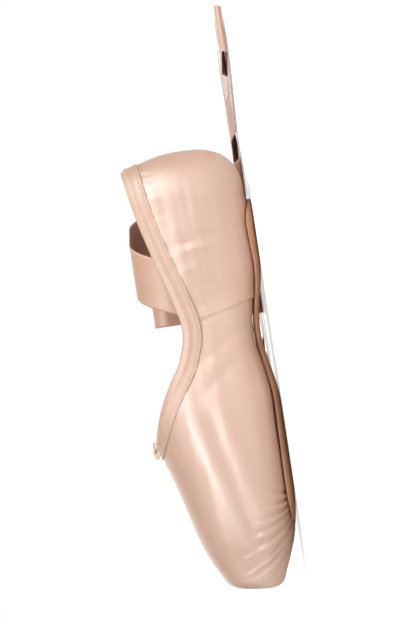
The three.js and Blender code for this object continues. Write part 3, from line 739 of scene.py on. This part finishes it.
# %% [markdown]
# ## Binding
# The binding is a bias tape folded over the collar's edge and sewn through. The drawstring lies in its fold
# and shows as a ridge, and the tape's lower edge is stitched down. A curve with a bevel could draw it, but
# wouldn't keep it flat on the wall. So its section is a loop that follows the last: up the outside, over
# the edge, down the inside, and back through the wall.

# %% Binding
BINDING_DEPTH = 8.5
STITCH_DEPTH, STITCH_PITCH = 7.3, 2.6
DRAWSTRING_DEPTH, DRAWSTRING_RISE, DRAWSTRING_WIDTH = 2.1, 0.55, 1.5
TAPE_OUT, TAPE_IN, TAPE_OVER = 0.85, 0.75, 1.1
# shares of the loop at which the outer leg ends, the inner leg starts, and the closing starts
OUTER_END, INNER_START, CLOSE_START = 0.40, 0.60, 0.90


def binding_place(s, t):
    """s runs round the collar and t round the tape's section: up the outer leg from its lower edge, over
    the collar's edge, down the inner leg, and back through the wall to close the loop."""
    i = np.rint(s * COLLAR_COUNT).astype(int) % COLLAR_COUNT
    run = i / COLLAR_COUNT * COLLAR_RUN
    wall = wall_at(edge[i, 0])
    outer_leg, inner_leg = t < OUTER_END, t > INNER_START
    depth_out = BINDING_DEPTH * (1 - np.clip(t / OUTER_END, 0, 1))
    depth_in = BINDING_DEPTH * np.clip((t - INNER_START) / (CLOSE_START - INNER_START), 0, 1)
    # the outer leg, with the drawstring's ridge, the stitched line and the ripples between them
    stitched = depth_out - STITCH_DEPTH
    pucker = 0.10 * np.sin(run * 2 * np.pi / STITCH_PITCH) * bump(stitched, 1.4)
    ripple = 0.08 * np.sin(run * 0.78 + 1.7 * np.sin(run * 0.13)) * bump(depth_out - 5.0, 2.6)
    ridge = DRAWSTRING_RISE * bump(depth_out - DRAWSTRING_DEPTH, DRAWSTRING_WIDTH)
    outer = TAPE_OUT + ridge - 0.28 * bump(stitched, 0.55) + pucker + ripple
    outer = outer * smooth((BINDING_DEPTH - depth_out) / 0.7) ** 0.5
    inner = -wall - TAPE_IN * smooth((BINDING_DEPTH - depth_in) / 0.7) ** 0.5
    grown = np.where(outer_leg, outer, np.where(inner_leg, inner, 0))
    depth = np.where(outer_leg, depth_out, np.where(inner_leg, depth_in, 0))
    # the round over the top
    start = TAPE_OUT + DRAWSTRING_RISE * bump(DRAWSTRING_DEPTH, DRAWSTRING_WIDTH)
    turn = np.pi * np.clip((t - OUTER_END) / (INNER_START - OUTER_END), 0, 1)
    top = ~(outer_leg | inner_leg)
    middle, radius = (start - wall - TAPE_IN) / 2, (start + wall + TAPE_IN) / 2
    grown = np.where(top, middle + radius * np.cos(turn), grown)
    lift = np.where(top, TAPE_OVER * np.sin(turn) ** 0.8, 0)
    # back to the outer leg through the wall
    close = t > CLOSE_START
    back = np.clip((t - CLOSE_START) / (1 - CLOSE_START), 0, 1)
    grown = np.where(close, -wall * (1 - back), grown)
    depth = np.where(close, BINDING_DEPTH - 0.6 * np.sin(np.pi * back), depth)
    surface = on_last(edge[i] + edge_down[i] * depth[:, None], 0.0)
    out = unit(np.where((depth < 0.3)[:, None], edge_out[i], wall_normal(surface)))
    return surface + out * grown[:, None] - edge_down[i] * lift[:, None]


binding = rolled_up("collar_binding_tape", COLLAR_COUNT, 50, binding_place)

# %% [markdown]
# ## Outsole
# The outsole is one narrow piece of leather, far smaller than the foot. Its edges are skived thin, so that
# they follow the cloth, and a dark groove is left between them. It could be an outline that is extruded and
# bevelled, but its top has to fit the rounded upper. So it is a loop of a section drawn along the sole,
# whose width, height and thickness change along the way.

# %% Outsole
SOLE_START, SOLE_END = 29.0, 199.0


def along_piece(start, end, s):
    """Places from start to end, closer together near both ends."""
    return start + (end - start) * (0.5 - 0.5 * np.cos(np.pi * s))


def rounded_ends(x, start, end, rear, front):
    """1 in the middle of a piece, falling to 0 along an ellipse over its last stretch at each end."""
    ahead = np.clip((x - (end - front)) / front, 0, 1)
    behind = np.clip(((start + rear) - x) / rear, 0, 1)
    return np.sqrt(1 - ahead**2) * np.sqrt(1 - behind**2)


def flat_section(t):
    """A flat loop: places across it from -1 to 1, whether each is on top, and how its edges round off."""
    turn = 2 * np.pi * t
    share = np.sign(np.cos(turn)) * np.abs(np.cos(turn)) ** 0.45
    return share, np.sin(turn) >= 0, (1 - np.abs(share) ** 9) ** 0.6


def underside(x, y, grown=0.0):
    """The height of the last's underside, or of the wall's inner face where grown is the wall's depth."""
    ribs, out = ribs_through(x, y)
    share = np.clip(out / (ribs.half + grown), 0, 1) ** ribs.below
    return ribs.widest - (ribs.widest - ribs.bottom + grown) * (1 - share) ** (1 / ribs.below)


def outsole_place(s, t):
    """s runs along the sole and t round its section: over the top, then back underneath."""
    x = along_piece(SOLE_START, SOLE_END, s)
    half = np.maximum(0.02, sole_half(x) * rounded_ends(x, SOLE_START, SOLE_END, rear=13, front=24))
    share, upside, rounded = flat_section(t)
    y = share * half
    skived = 0.3 * sole_thick(x) * smooth((np.abs(share) - 0.5) / 0.5)
    low = sole_line(x) + np.maximum(0, underside(x, y) - underside(x, 0.5 * half)) + skived
    high = underside(x, y) - 0.12
    middle = low + (high - low) * 0.45
    return np.stack([x, y, middle + (np.where(upside, high, low) - middle) * rounded], -1)


outsole = rolled_up("leather_outsole", 150, 40, outsole_place)

# %% [markdown]
# ## Sock
# The sock is a thin cotton insole that covers the turned-in margins of the upper. It is made in the same
# way as the outsole, and lies on the inner face of the wall, which is the last drawn in by the wall's
# thickness.

# %% Sock
SOCK_START, SOCK_END = 12.0, 210.0


def sock_place(s, t):
    x = along_piece(SOCK_START, SOCK_END, s)
    wide = np.minimum(sole_half(x) + 5.5, 0.78 * (half_width(x) - wall_at(x)))
    half = np.maximum(0.02, wide * rounded_ends(x, SOCK_START, SOCK_END, rear=28, front=24))
    share, upside, rounded = flat_section(t)
    floor_height = underside(x, share * half, -wall_at(x))
    thickness = np.where(upside, 0.6 + 0.9 * rounded, 0.5 * (1 - rounded))
    return np.stack([x, share * half, floor_height + 0.1 + thickness], -1)


insole = rolled_up("insole_sock", 110, 30, sock_place)

# %% [markdown]
# ## Ribbons
# A ribbon bends but doesn't stretch or turn sideways in its own plane, so it changes direction only by
# folding over slanted lines. A cloth simulation crumples so narrow a strip. So it is cut flat and rolled
# round such lines one after another, as the CAD model does it, with the same bends, and keeps its length
# and its width. Solidify then gives it its thickness.

# %% Ribbon bends
RIBBON_WIDTH, RIBBON_LENGTH = 25.0, 500.0
RIBBON_LIFT, FOLD_RADIUS, RIBBON_THICK = 0.9, 1.5, 0.35
SETTLE_ANGLE, SETTLE_RADIUS, LAND_RADIUS = math.radians(20), 12.0, 14.0


class Ribbon:
    """A flat strip that is led on from at, and bent over lines across it, skewed or straight."""

    def __init__(self, at, along, across):
        along, across = unit(np.array(along, float)), np.array(across, float)
        across = unit(across - along * across.dot(along))
        self.at, self.along, self.across = np.array(at, float), along, across
        self.up = np.cross(along, across)
        self.run, self.bends = 0.0, []
        self.start = (self.at.copy(), along, across, self.up)

    def forward(self, length):
        self.run += length
        return self

    def bend(self, angle, radius, skew=0.0):
        """Rolls what is still to come round a rod. The strip is laid out as far as this bend's start."""
        c, s = math.cos(skew), math.sin(skew)
        over, line = self.along * c + self.across * s, self.across * c - self.along * s
        origin, sign = self.at + self.along * self.run, math.copysign(1, angle)
        turn = abs(angle)
        self.bends.append((self.run, c, s, radius, turn, sign, origin, over, line, self.up))
        new_over = over * math.cos(turn) + self.up * sign * math.sin(turn)
        new_up = self.up * math.cos(turn) - over * sign * math.sin(turn)
        reached = origin + over * radius * math.sin(turn) + self.up * sign * radius * (1 - math.cos(turn))
        start = self.run
        self.run += radius * turn / c
        self.along, self.across, self.up = new_over * c - line * s, new_over * s + line * c, new_up
        self.at = reached - new_over * radius * turn - self.along * start
        return self

    def level_skew(self):
        """The skew of a bend whose rod lies level."""
        return math.atan(self.across[2] / self.along[2])

    def pitch(self):
        skew = self.level_skew()
        return math.asin(self.along[2] * math.cos(skew) + self.across[2] * math.sin(skew))

    def height(self):
        return self.at[2] + self.along[2] * self.run

    def pitch_to(self, pitch, radius):
        return self.bend((pitch - self.pitch()) * np.sign(self.up[2]), radius, self.level_skew())

    def land(self):
        """Down to the floor, and flat along it."""
        drop = self.height() - RIBBON_LIFT - LAND_RADIUS * (1 - math.cos(self.pitch()))
        return self.forward(drop / -self.along[2]).pitch_to(0, LAND_RADIUS)

    def fold_to(self, degrees):
        """Folds the strip back over itself, so that it goes on in another direction."""
        turn = (math.radians(degrees) - math.atan2(self.along[1], self.along[0])) % (2 * math.pi)
        sign = np.sign(self.up[2])
        return self.bend(sign * math.pi, FOLD_RADIUS, sign * (turn - math.pi) / 2)

    def settle(self):
        """Down from the top of a fold to the floor."""
        turn = -np.sign(self.up[2]) * SETTLE_ANGLE
        drop = self.height() - RIBBON_LIFT - 2 * SETTLE_RADIUS * (1 - math.cos(SETTLE_ANGLE))
        self.bend(turn, SETTLE_RADIUS).forward(drop / math.sin(SETTLE_ANGLE))
        return self.bend(-turn, SETTLE_RADIUS)

    def place(self, run, off):
        """Where places on the flat strip come to lie, and the strip's upward direction there."""
        at, along, across, up = self.start
        where = at + along * run[:, None] + across * off[:, None]
        facing = np.tile(up, (len(run), 1))
        for b_run, c, s, radius, turn, sign, origin, over, line, b_up in self.bends:
            past = (run - b_run) * c + off * s
            here = past > 0
            offset = -(run - b_run) * s + off * c
            angle = np.clip(past / radius, 0, turn)
            now_over = over * np.cos(angle)[:, None] + b_up * sign * np.sin(angle)[:, None]
            now_up = b_up * np.cos(angle)[:, None] - over * sign * np.sin(angle)[:, None]
            spot = (
                origin
                + line * offset[:, None]
                + over * (radius * np.sin(angle))[:, None]
                + b_up * (sign * radius * (1 - np.cos(angle)))[:, None]
                + now_over * (past - radius * angle)[:, None]
            )
            where[here], facing[here] = spot[here], now_up[here]
        return where, facing


# %% [markdown]
# Each ribbon stands up from its seam inside the quarter, falls over the outer side of the collar, and lies
# on the floor in two flat folds.

# %% Routes of the ribbons


def ribbon_inner_route():
    ribbon = Ribbon((75, 24, 30), (math.sin(-0.38), -math.sin(0.14), math.cos(-0.38)), (-1, 0, 0))
    level, over = ribbon.level_skew(), math.radians(84)
    ribbon.forward(19).bend(over, 20, level).forward(21).bend(over, 15, level)
    ribbon.land().forward(44).fold_to(120).forward(26).settle().forward(75)
    return ribbon.fold_to(278).forward(52).settle()


def ribbon_outer_route():
    ribbon = Ribbon((75, -24, 30), (0, math.sin(0.14), math.cos(0.14)), (-1, 0, 0))
    ribbon.forward(20).bend(math.radians(184), 7)
    ribbon.land().forward(40).fold_to(5).forward(24).settle().forward(52)
    return ribbon.fold_to(210).forward(60).settle()


def make_ribbon(name, route):
    def place(s, t):
        """The middle ripples by a hair's breadth, and the selvages draw in a little."""
        where, facing = route.place(s * RIBBON_LENGTH, (t - 0.5) * RIBBON_WIDTH)
        ripple = 0.10 * np.sin(s * 61) * np.cos(t * 9 + s * 20)
        return where + facing * (ripple - 0.05 * bump(np.abs(t - 0.5) - 0.47, 0.01))[:, None]

    ribbon = cut_and_place(name, 600, 20, place, lambda s, t: (s * RIBBON_LENGTH, t * RIBBON_WIDTH))
    pick([ribbon])
    thickness = ribbon.modifiers.new("thickness", "SOLIDIFY")
    thickness.thickness, thickness.offset = RIBBON_THICK * MM, 0
    bpy.ops.object.modifier_apply(modifier=thickness.name)
    print(name, len(route.bends), "bends")
    return ribbon


ribbon_inner = make_ribbon("ribbon_inner_satin", ribbon_inner_route())
ribbon_outer = make_ribbon("ribbon_outer_satin", ribbon_outer_route())

# %% [markdown]
# ## Drawstring knot
# The drawstring comes out of a small slit in the binding at the throat. Its two ends are tied in one small
# hard knot, and what is left of them is tucked away under it. A round cord is a tube drawn along a path,
# and the path of an overhand knot is a trefoil, here pressed flat and long.

# %% Drawstring knot
CORD_RADIUS = 0.62
TAIL_RADIUS = 0.9 * CORD_RADIUS
CORD_ROUND = 10
CORD_MERGE = 0.01
KNOT_X = THROAT + 5.0
KNOT_Z = float(top_height(KNOT_X)) + 2.55
throat_slope = math.atan2(float(top_height(KNOT_X - 0.5) - top_height(KNOT_X + 0.5)), 1)


def tube(name, path, radius, steps, closed=False):
    """A round cord along path(t), with t from 0 to 1 and path in millimetres."""

    def place(s, t):
        forward = unit(path(s + 1e-3) - path(s - 1e-3))
        side_way = unit(np.cross(forward, np.array([0.31, 0.11, 0.94])))
        up_way = np.cross(side_way, forward)
        thick = radius * (1 if closed else np.sqrt(np.clip(1 - (2 * s - 1) ** 24, 0, 1)))
        turn = 2 * np.pi * t
        return path(s) + side_way * (thick * np.cos(turn))[:, None] + up_way * (thick * np.sin(turn))[:, None]

    return rolled_up(name, steps, CORD_ROUND, place, within=CORD_MERGE)


def knot_path(t):
    turn = 2 * np.pi * t
    long = (np.sin(turn) + 1.35 * np.sin(2 * turn)) * 1.05
    across = (np.cos(turn) - 1.35 * np.cos(2 * turn)) * 0.50
    high = 0.62 * np.sin(3 * turn)
    c, s = math.cos(throat_slope), math.sin(throat_slope)
    return np.stack([KNOT_X + long * c + high * s, across, KNOT_Z - long * s + high * c], -1)


def tail_path(side):
    """One of the cord's ends, from the slit to the knot."""

    def path(t):
        high = float(top_height(THROAT)) + 1.75 + 0.25 * np.sin(np.pi * t)
        return np.stack([THROAT + 2.2 - 3.2 * t, side * (0.5 + 0.9 * t), high], -1)

    return path


knot_cords = [
    tube("knot", knot_path, CORD_RADIUS, 120, closed=True),
    tube("tail_left", tail_path(1), TAIL_RADIUS, 16),
    tube("tail_right", tail_path(-1), TAIL_RADIUS, 16),
]
knot = join_pieces("drawstring_knot_cord", knot_cords)
print("knot", [round(v / MM, 1) for v in knot.dimensions], "mm")

# %% [markdown]
# ## Stitches
# A stitch is a short soft thread that dives at both ends. One is modelled, and is then copied along each
# seam, a little turned and a little longer or shorter each time, because hands and machines both wander.

# %% One stitch
deselect()
bpy.ops.mesh.primitive_cylinder_add(vertices=6, radius=0.5, depth=1.0, end_fill_type="TRIFAN")
stitch = bpy.context.object
edit_mesh(stitch, lambda: bpy.ops.mesh.subdivide(number_cuts=1))
stitch_shape = np.array([v.co for v in stitch.data.vertices])
stitch_faces = [tuple(p.vertices) for p in stitch.data.polygons]
bpy.ops.object.delete()
stitch_wide, stitch_high, stitch_long = stitch_shape.T
stitch_taper = np.sqrt(np.clip(1 - (2 * stitch_long) ** 2 * 0.8, 0.05, 1))
stitch_dive = -((2 * stitch_long) ** 2) * 0.28
print("a stitch has", len(stitch_faces), "faces")

# %% Sewing


def sew(name, places, alongs, outs, length, thick, rise):
    """Copies of the stitch as one mesh: each has its middle, the way it runs and the way out of the cloth."""
    points, faces = [], []
    for k, (place, way, out) in enumerate(zip(places, unit(alongs), unit(outs))):
        way = unit(way + 0.10 * rng.uniform(-1, 1) * np.cross(way, out))
        runs = stitch_long * length * rng.uniform(0.9, 1.08)
        beside = stitch_wide * thick * stitch_taper
        above = stitch_high * thick * stitch_taper * 0.7 + stitch_dive * thick + rise
        spot = place + np.outer(runs, way) + np.outer(beside, np.cross(way, out))
        points.append(spot + np.outer(above, out))
        faces += [tuple(i + k * len(stitch_shape) for i in face) for face in stitch_faces]
    mesh = bpy.data.meshes.new(name)
    mesh.from_pydata(to_frame(np.concatenate(points)), [], faces)
    piece = bpy.data.objects.new(name, mesh)
    bpy.context.collection.objects.link(piece)
    mesh.shade_smooth()
    print(name, len(points), "stitches")
    return piece


# %% [markdown]
# The binding is sewn by machine, in one even row near its lower edge, where the tape is drawn in a little.

# %% Stitches of the binding
wanted = round(COLLAR_RUN / STITCH_PITCH)
at_s = (np.arange(wanted) + 0.5) / wanted
row = np.full(wanted, OUTER_END * (1 - STITCH_DEPTH / BINDING_DEPTH))
i = np.rint(at_s * COLLAR_COUNT).astype(int) % COLLAR_COUNT
binding_stitches = sew(
    "binding_stitches", binding_place(at_s, row), edge_along[i], edge_out[i], 1.75, 0.36, 0.05
)

# %% [markdown]
# A dancer sews the ribbons on, inside the quarters: two rows across each end and one up each of its sides.
# The side seam's top end is held by a few tacks, because the foot pulls at it there.

# %% Stitches of the ribbons and of the seam's ends
RIBBON_PITCH = 2.1


def ribbon_stitches(name, route):
    across = [(run, off) for run in (2.0, 13.0) for off in np.arange(-10.5, 10.6, RIBBON_PITCH)]
    up = [(run, off) for off in (-11.6, 11.6) for run in np.arange(3.5, 13.0, RIBBON_PITCH)]
    runs, offs = np.array(across + up).T
    turned = np.arange(len(runs)) < len(across)
    where, facing = route.place(runs, offs)
    ahead, _ = route.place(runs + 0.1, offs)
    aside, _ = route.place(runs, offs + 0.1)
    way = np.where(turned[:, None], aside - where, ahead - where)
    facing = facing * np.sign(-facing[:, 1:2] * np.sign(where[0, 1]))
    return sew(name, where + facing * 0.15, way, facing, 1.5, 0.34, 0.08)


stitches_inner = ribbon_stitches("ribbon_inner_stitches", ribbon_inner_route())
stitches_outer = ribbon_stitches("ribbon_outer_stitches", ribbon_outer_route())
tacks = []
for side in (1, -1):
    for z in (33.6, 35.4):
        for behind in (2.6, 1.2):
            x = seam_x(z) - behind
            tacks.append((x, side * float(Ribs(x, 0.0).width_at(z)), z))
tacks = np.array(tacks)
tack_out = wall_normal(np.abs(tacks))
tack_out[:, 1] *= np.sign(tacks[:, 1])
tack_way = np.tile([0.2, 0, 1.0], (len(tacks), 1))
seam_tacks = sew("seam_tacks", tacks + tack_out * 0.45, tack_way, tack_out, 1.5, 0.4, 0.1)

# %% [markdown]
# ## Finishes
# A material is a tree of nodes, which are usually drawn by hand. Here a small class wraps a node's socket,
# so that sums on sockets add Math nodes, and one method adds any other node.

# %% Node helpers
ON_CLOTH, ON_OBJECT = 2, 3


class Wire:
    """A socket that can be added, multiplied and subtracted."""

    def __init__(self, tree, socket):
        self.tree, self.socket = tree, socket

    def math(self, operation, *others, clamp=False):
        return self.tree.node("ShaderNodeMath", {"operation": operation, "use_clamp": clamp}, [self, *others])

    def clamped(self):
        return self.math("ADD", 0.0, clamp=True)

    def __add__(self, other):
        return self.math("ADD", other)

    __radd__ = __add__

    def __mul__(self, other):
        return self.math("MULTIPLY", other)

    __rmul__ = __mul__

    def __sub__(self, other):
        return self.math("SUBTRACT", other)

    def __rsub__(self, other):
        return self.tree.node("ShaderNodeMath", {"operation": "SUBTRACT"}, [other, self])


class Finish:
    """A material, with values for its shader's own sockets."""

    def __init__(self, name, **values):
        self.material = bpy.data.materials.new(name)
        self.material.use_nodes = True
        self.nodes, self.links = self.material.node_tree.nodes, self.material.node_tree.links
        self.shader = self.nodes["Principled BSDF"]
        for key, value in values.items():
            self.shader.inputs[key.replace("_", " ")].default_value = value

    def node(self, kind, settings=None, inputs=(), output=0):
        """Adds a node with its settings and its inputs, which are values or wires. Gives a wire from it."""
        made = self.nodes.new(kind)
        for key, value in (settings or {}).items():
            setattr(made, key, value)
        pairs = inputs.items() if isinstance(inputs, dict) else enumerate(inputs)
        for key, value in pairs:
            socket = made.inputs[key]
            if isinstance(value, Wire):
                self.links.new(value.socket, socket)
            else:
                socket.default_value = value
        return Wire(self, made.outputs[output])

    def feed(self, name, wire):
        self.links.new(wire.socket, self.shader.inputs[name])

    def place(self, stretch=(1, 1, 1), on=ON_OBJECT):
        """Places on the object or on its flat cloth. A stretch below 1 draws the pattern out that way."""
        coordinates = self.node("ShaderNodeTexCoord", output=on)
        return self.node("ShaderNodeMapping", {}, {"Vector": coordinates, "Scale": stretch})

    def noise(self, scale, detail=2.0, roughness=0.5, stretch=(1, 1, 1), on=ON_OBJECT):
        inputs = {"Vector": self.place(stretch, on), "Scale": scale, "Detail": detail, "Roughness": roughness}
        return self.node("ShaderNodeTexNoise", {}, inputs)

    def blend(self, amount, low, high):
        return self.node("ShaderNodeMix", {"data_type": "RGBA"}, {0: amount, 6: low, 7: high}, output=2)

    def bump(self, height, strength, distance):
        return self.node("ShaderNodeBump", {}, {"Height": height, "Strength": strength, "Distance": distance})


def rgb(*channels):
    """A colour as seen on a screen, from 0 to 255, as the linear light that shaders use."""
    shares = [c / 255 for c in channels]
    return (*[c / 12.92 if c <= 0.04045 else ((c + 0.055) / 1.055) ** 2.4 for c in shares], 1.0)


# %% [markdown]
# ## Satin
# Satin shines because its threads float over several others before they dive. The floats all run one way,
# so the sheen is streaked that way. Three noises, drawn out along the cloth, give the threads, their ends
# and the streaks, and move the colour and the roughness a little. They read the piece's own cloth
# coordinates, in metres, so the threads follow the cloth round the heel and along a ribbon. A fourth, broad
# one clouds the colour. A high index of refraction gives the strong pale highlights of silk. A ribbon's
# selvage is woven closer and is a little paler.

# %% Satin
SELVAGE_FROM, SELVAGE_TO = 0.0112, 0.0116


def satin(name, dark, light, roughness, gloss, selvage=False):
    finish = Finish(name, Specular_IOR_Level=gloss, IOR=2.2, Sheen_Weight=0.12, Sheen_Roughness=0.4)
    warp = finish.noise(3200.0, 2.0, 0.6, (0.05, 1, 1), ON_CLOTH)
    float_ends = finish.noise(2600.0, 1.0, 0.5, (0.5, 1, 1), ON_CLOTH)
    streak = finish.noise(420.0, 3.0, 0.6, (0.06, 1, 1), ON_CLOTH)
    cloud = finish.noise(26.0, 3.0, 0.5)
    tone = (cloud * 0.45 + streak * 0.35 + warp * 0.2).clamped()
    tone = ((tone - 0.5) * 1.1 + 0.5).clamped()
    colour = finish.blend(tone, dark, light)
    thread = warp * 0.7 + float_ends * 0.3
    rough = thread * 0.10 + streak * 0.10 + (roughness - 0.10)
    if selvage:
        across = finish.node("ShaderNodeSeparateXYZ", {}, [finish.place(on=ON_CLOTH)], output=1)
        from_middle = (across - RIBBON_WIDTH / 2 * MM).math("ABSOLUTE")
        edge_inputs = {"Value": from_middle, "From Min": SELVAGE_FROM, "From Max": SELVAGE_TO}
        woven = finish.node("ShaderNodeMapRange", {}, edge_inputs)
        colour = finish.blend(woven * 0.5, colour, light)
        rough = rough + woven * 0.15
        thread = thread + woven * 0.6
    finish.feed("Base Color", colour)
    finish.feed("Roughness", rough)
    finish.feed("Normal", finish.bump(thread, 0.16, 0.0002))
    print(name, len(finish.nodes), "nodes")
    return finish.material


upper_satin = satin("satin_upper", rgb(188, 140, 114), rgb(211, 170, 145), 0.46, 1.0)
tape_satin = satin("satin_tape", rgb(184, 143, 119), rgb(204, 168, 145), 0.56, 0.6)
ribbon_satin = satin("satin_ribbon", rgb(182, 138, 114), rgb(205, 164, 141), 0.50, 0.45, selvage=True)

# %% [markdown]
# ## Leather, canvas, cotton and thread
# The outsole is vegetable-tanned leather, rough side out: a dull tan with open grain, patches and scuffs
# along it. The lining is plain canvas and the sock a thin cotton. Both show a square weave: two sets of
# fine waves, across each other. Thread and cord are twisted, which a fine noise stands for.

# %% Leather, canvas, cotton and thread


def leather():
    finish = Finish("outsole_leather", Specular_IOR_Level=0.35)
    grain = finish.noise(900.0, 5.0, 0.65)
    patch = finish.noise(45.0, 4.0)
    scuff = finish.noise(160.0, 2.0, 0.5, (0.15, 1, 1))
    tone = (grain * 0.4 + patch * 0.35 + scuff * 0.25).clamped()
    tone = ((tone - 0.5) * 1.6 + 0.5).clamped()
    finish.feed("Base Color", finish.blend(tone, rgb(204, 148, 114), rgb(238, 193, 160)))
    finish.feed("Roughness", grain * 0.25 + 0.5)
    finish.feed("Normal", finish.bump(grain + scuff * 0.5, 0.35, 0.0004))
    return finish.material


def plain_weave(name, dark, light, pitch):
    finish = Finish(name, Specular_IOR_Level=0.2, Sheen_Weight=0.1)

    def waves(way):
        inputs = {"Vector": finish.place(), "Scale": 1 / pitch, "Distortion": 0.6}
        return finish.node("ShaderNodeTexWave", {"bands_direction": way}, inputs)

    warp, weft = waves("X"), waves("Z")
    slub = finish.noise(500.0, 3.0)
    patch = finish.noise(30.0, 2.0)
    weave = warp * 0.5 + weft * 0.5
    tone = (weave * 0.25 + slub * 0.4 + patch * 0.35).clamped()
    finish.feed("Base Color", finish.blend(tone, dark, light))
    finish.feed("Roughness", slub * 0.1 + 0.8)
    finish.feed("Normal", finish.bump(weave + slub * 0.6, 0.3, 0.0003))
    return finish.material


def thread_finish(name, dark, light):
    finish = Finish(name, Specular_IOR_Level=0.4)
    twist = finish.noise(2400.0, 2.0)
    finish.feed("Base Color", finish.blend(twist, dark, light))
    finish.feed("Roughness", twist * 0.2 + 0.45)
    finish.feed("Normal", finish.bump(twist, 0.3, 0.0002))
    return finish.material


sole_leather = leather()
lining_canvas = plain_weave("lining_canvas", rgb(243, 229, 217), rgb(253, 247, 240), 0.0042)
sock_cotton = plain_weave("sock_cotton", rgb(246, 234, 224), rgb(254, 250, 245), 0.0032)
thread = thread_finish("sewing_thread", rgb(205, 162, 140), rgb(226, 190, 170))
cord_cotton = thread_finish("cord_cotton", rgb(212, 176, 158), rgb(232, 202, 186))
print(len(bpy.data.materials), "materials in the scene")

# %% [markdown]
# ## Finishing the pieces
# Each piece rides on the shoe's one body, hides the solid of the CAD model that it stands for, and gets its
# material. Stitches and the lining stand for no solid.

# %% Finish each piece


def finish_piece(piece, node, material):
    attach(piece, "root")
    if node:
        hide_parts(node)
    piece.data.materials.clear()
    piece.data.materials.append(material)
    print(piece.name, "in", material.name)


finish_piece(upper, "upper", upper_satin)
finish_piece(lining, None, lining_canvas)
finish_piece(binding, "collar_binding", tape_satin)
finish_piece(outsole, "outsole", sole_leather)
finish_piece(insole, "insole", sock_cotton)
finish_piece(knot, "drawstring_knot", cord_cotton)
finish_piece(binding_stitches, None, thread)
finish_piece(stitches_inner, None, thread)
finish_piece(stitches_outer, None, thread)
finish_piece(seam_tacks, None, thread)
finish_piece(ribbon_inner, "ribbon_inner", ribbon_satin)
finish_piece(ribbon_outer, "ribbon_outer", ribbon_satin)

# %% [markdown]
# ## Floor
# The floor is a wide sheet of pale paper. It glows a little to the camera, so that it is as white as a
# studio's, but the light that it throws back on the satin is that of plain paper. A Mix Shader, led by
# whether a ray comes from the camera, keeps the two apart.

# %% Floor
deselect()
bpy.ops.mesh.primitive_circle_add(vertices=64, radius=30, fill_type="NGON")
floor = bpy.context.object
floor.name = floor.data.name = "floor"
glow = {"Emission_Color": (1, 1, 1, 1), "Emission_Strength": 0.52}
paper = Finish("paper", Roughness=0.9, Specular_IOR_Level=0.1, **glow)
grain = paper.noise(3.0, 2.0)
paper.feed("Base Color", paper.blend(grain, (0.90, 0.90, 0.90, 1), (0.93, 0.93, 0.93, 1)))
bounced = paper.node("ShaderNodeBsdfDiffuse", {}, {"Color": (0.84, 0.80, 0.76, 1)})
camera_ray = paper.node("ShaderNodeLightPath")
glowing = Wire(paper, paper.shader.outputs[0])
surface = paper.node("ShaderNodeMixShader", {}, {0: camera_ray, 1: bounced, 2: glowing})
paper.links.new(surface.socket, paper.nodes["Material Output"].inputs["Surface"])
floor.data.materials.append(paper.material)

# %% [markdown]
# ## Light
# Satin is seen by its highlights, so the light comes mostly from one way. A soft sun stands high behind the
# heel. A long light, above the side and in line with the shoe, draws the two lengthwise streaks on the box.
# A broad one spreads over the heel, a small low one reaches the toe and its pleats, and a dim one keeps the
# far side from going brown.

# %% Light


def soft_light(name, place, aim, size, power):
    deselect()
    bpy.ops.object.light_add(type="AREA", location=place)
    light = bpy.context.object
    light.name = name
    light.data.shape = "RECTANGLE"
    light.data.size, light.data.size_y = size
    light.data.energy = power
    light.rotation_euler = (Vector(place) - Vector(aim)).to_track_quat("Z", "Y").to_euler()
    print(name, power, "W")


deselect()
bpy.ops.object.light_add(type="SUN", location=(0, 0.6, 1))
high_light = bpy.context.object
high_light.name = "high_light"
high_light.data.energy = 1.1
high_light.data.angle = math.radians(25)
high_light.rotation_euler = Vector((-0.85, 0.3, 0.8)).to_track_quat("Z", "Y").to_euler()
soft_light("long_light", (0.16, 0.58, 0.60), (0.05, 0, 0.03), (0.62, 0.26), 3.0)
soft_light("heel_light", (-0.62, 0.55, 0.50), (-0.09, 0, 0.04), (0.75, 0.60), 3.6)
soft_light("toe_light", (0.42, 0.55, 0.14), (0.10, 0, 0.025), (0.30, 0.20), 0.42)
soft_light("far_light", (0.05, -0.90, 0.30), (0, 0, 0.03), (1.0, 0.5), 2.8)

# %% [markdown]
# ## World
# The world is white to the camera, and much dimmer as a light, so that it doesn't wash out the highlights.
# The Standard view keeps the colours as they were chosen.

# %% World
SKY_AS_LIGHT, SKY_SEEN = 0.32, 1.0
world = bpy.data.worlds.new("studio")
bpy.context.scene.world = world
world.use_nodes = True
nodes, links = world.node_tree.nodes, world.node_tree.links
sky = nodes["Background"]
sky.inputs["Color"].default_value = (1, 1, 1, 1)
strength = nodes.new("ShaderNodeMapRange")
strength.inputs["To Min"].default_value = SKY_AS_LIGHT
strength.inputs["To Max"].default_value = SKY_SEEN
links.new(nodes.new("ShaderNodeLightPath").outputs["Is Camera Ray"], strength.inputs["Value"])
links.new(strength.outputs[0], sky.inputs["Strength"])
bpy.context.scene.view_settings.view_transform = "Standard"
print("world", SKY_AS_LIGHT, "as a light")
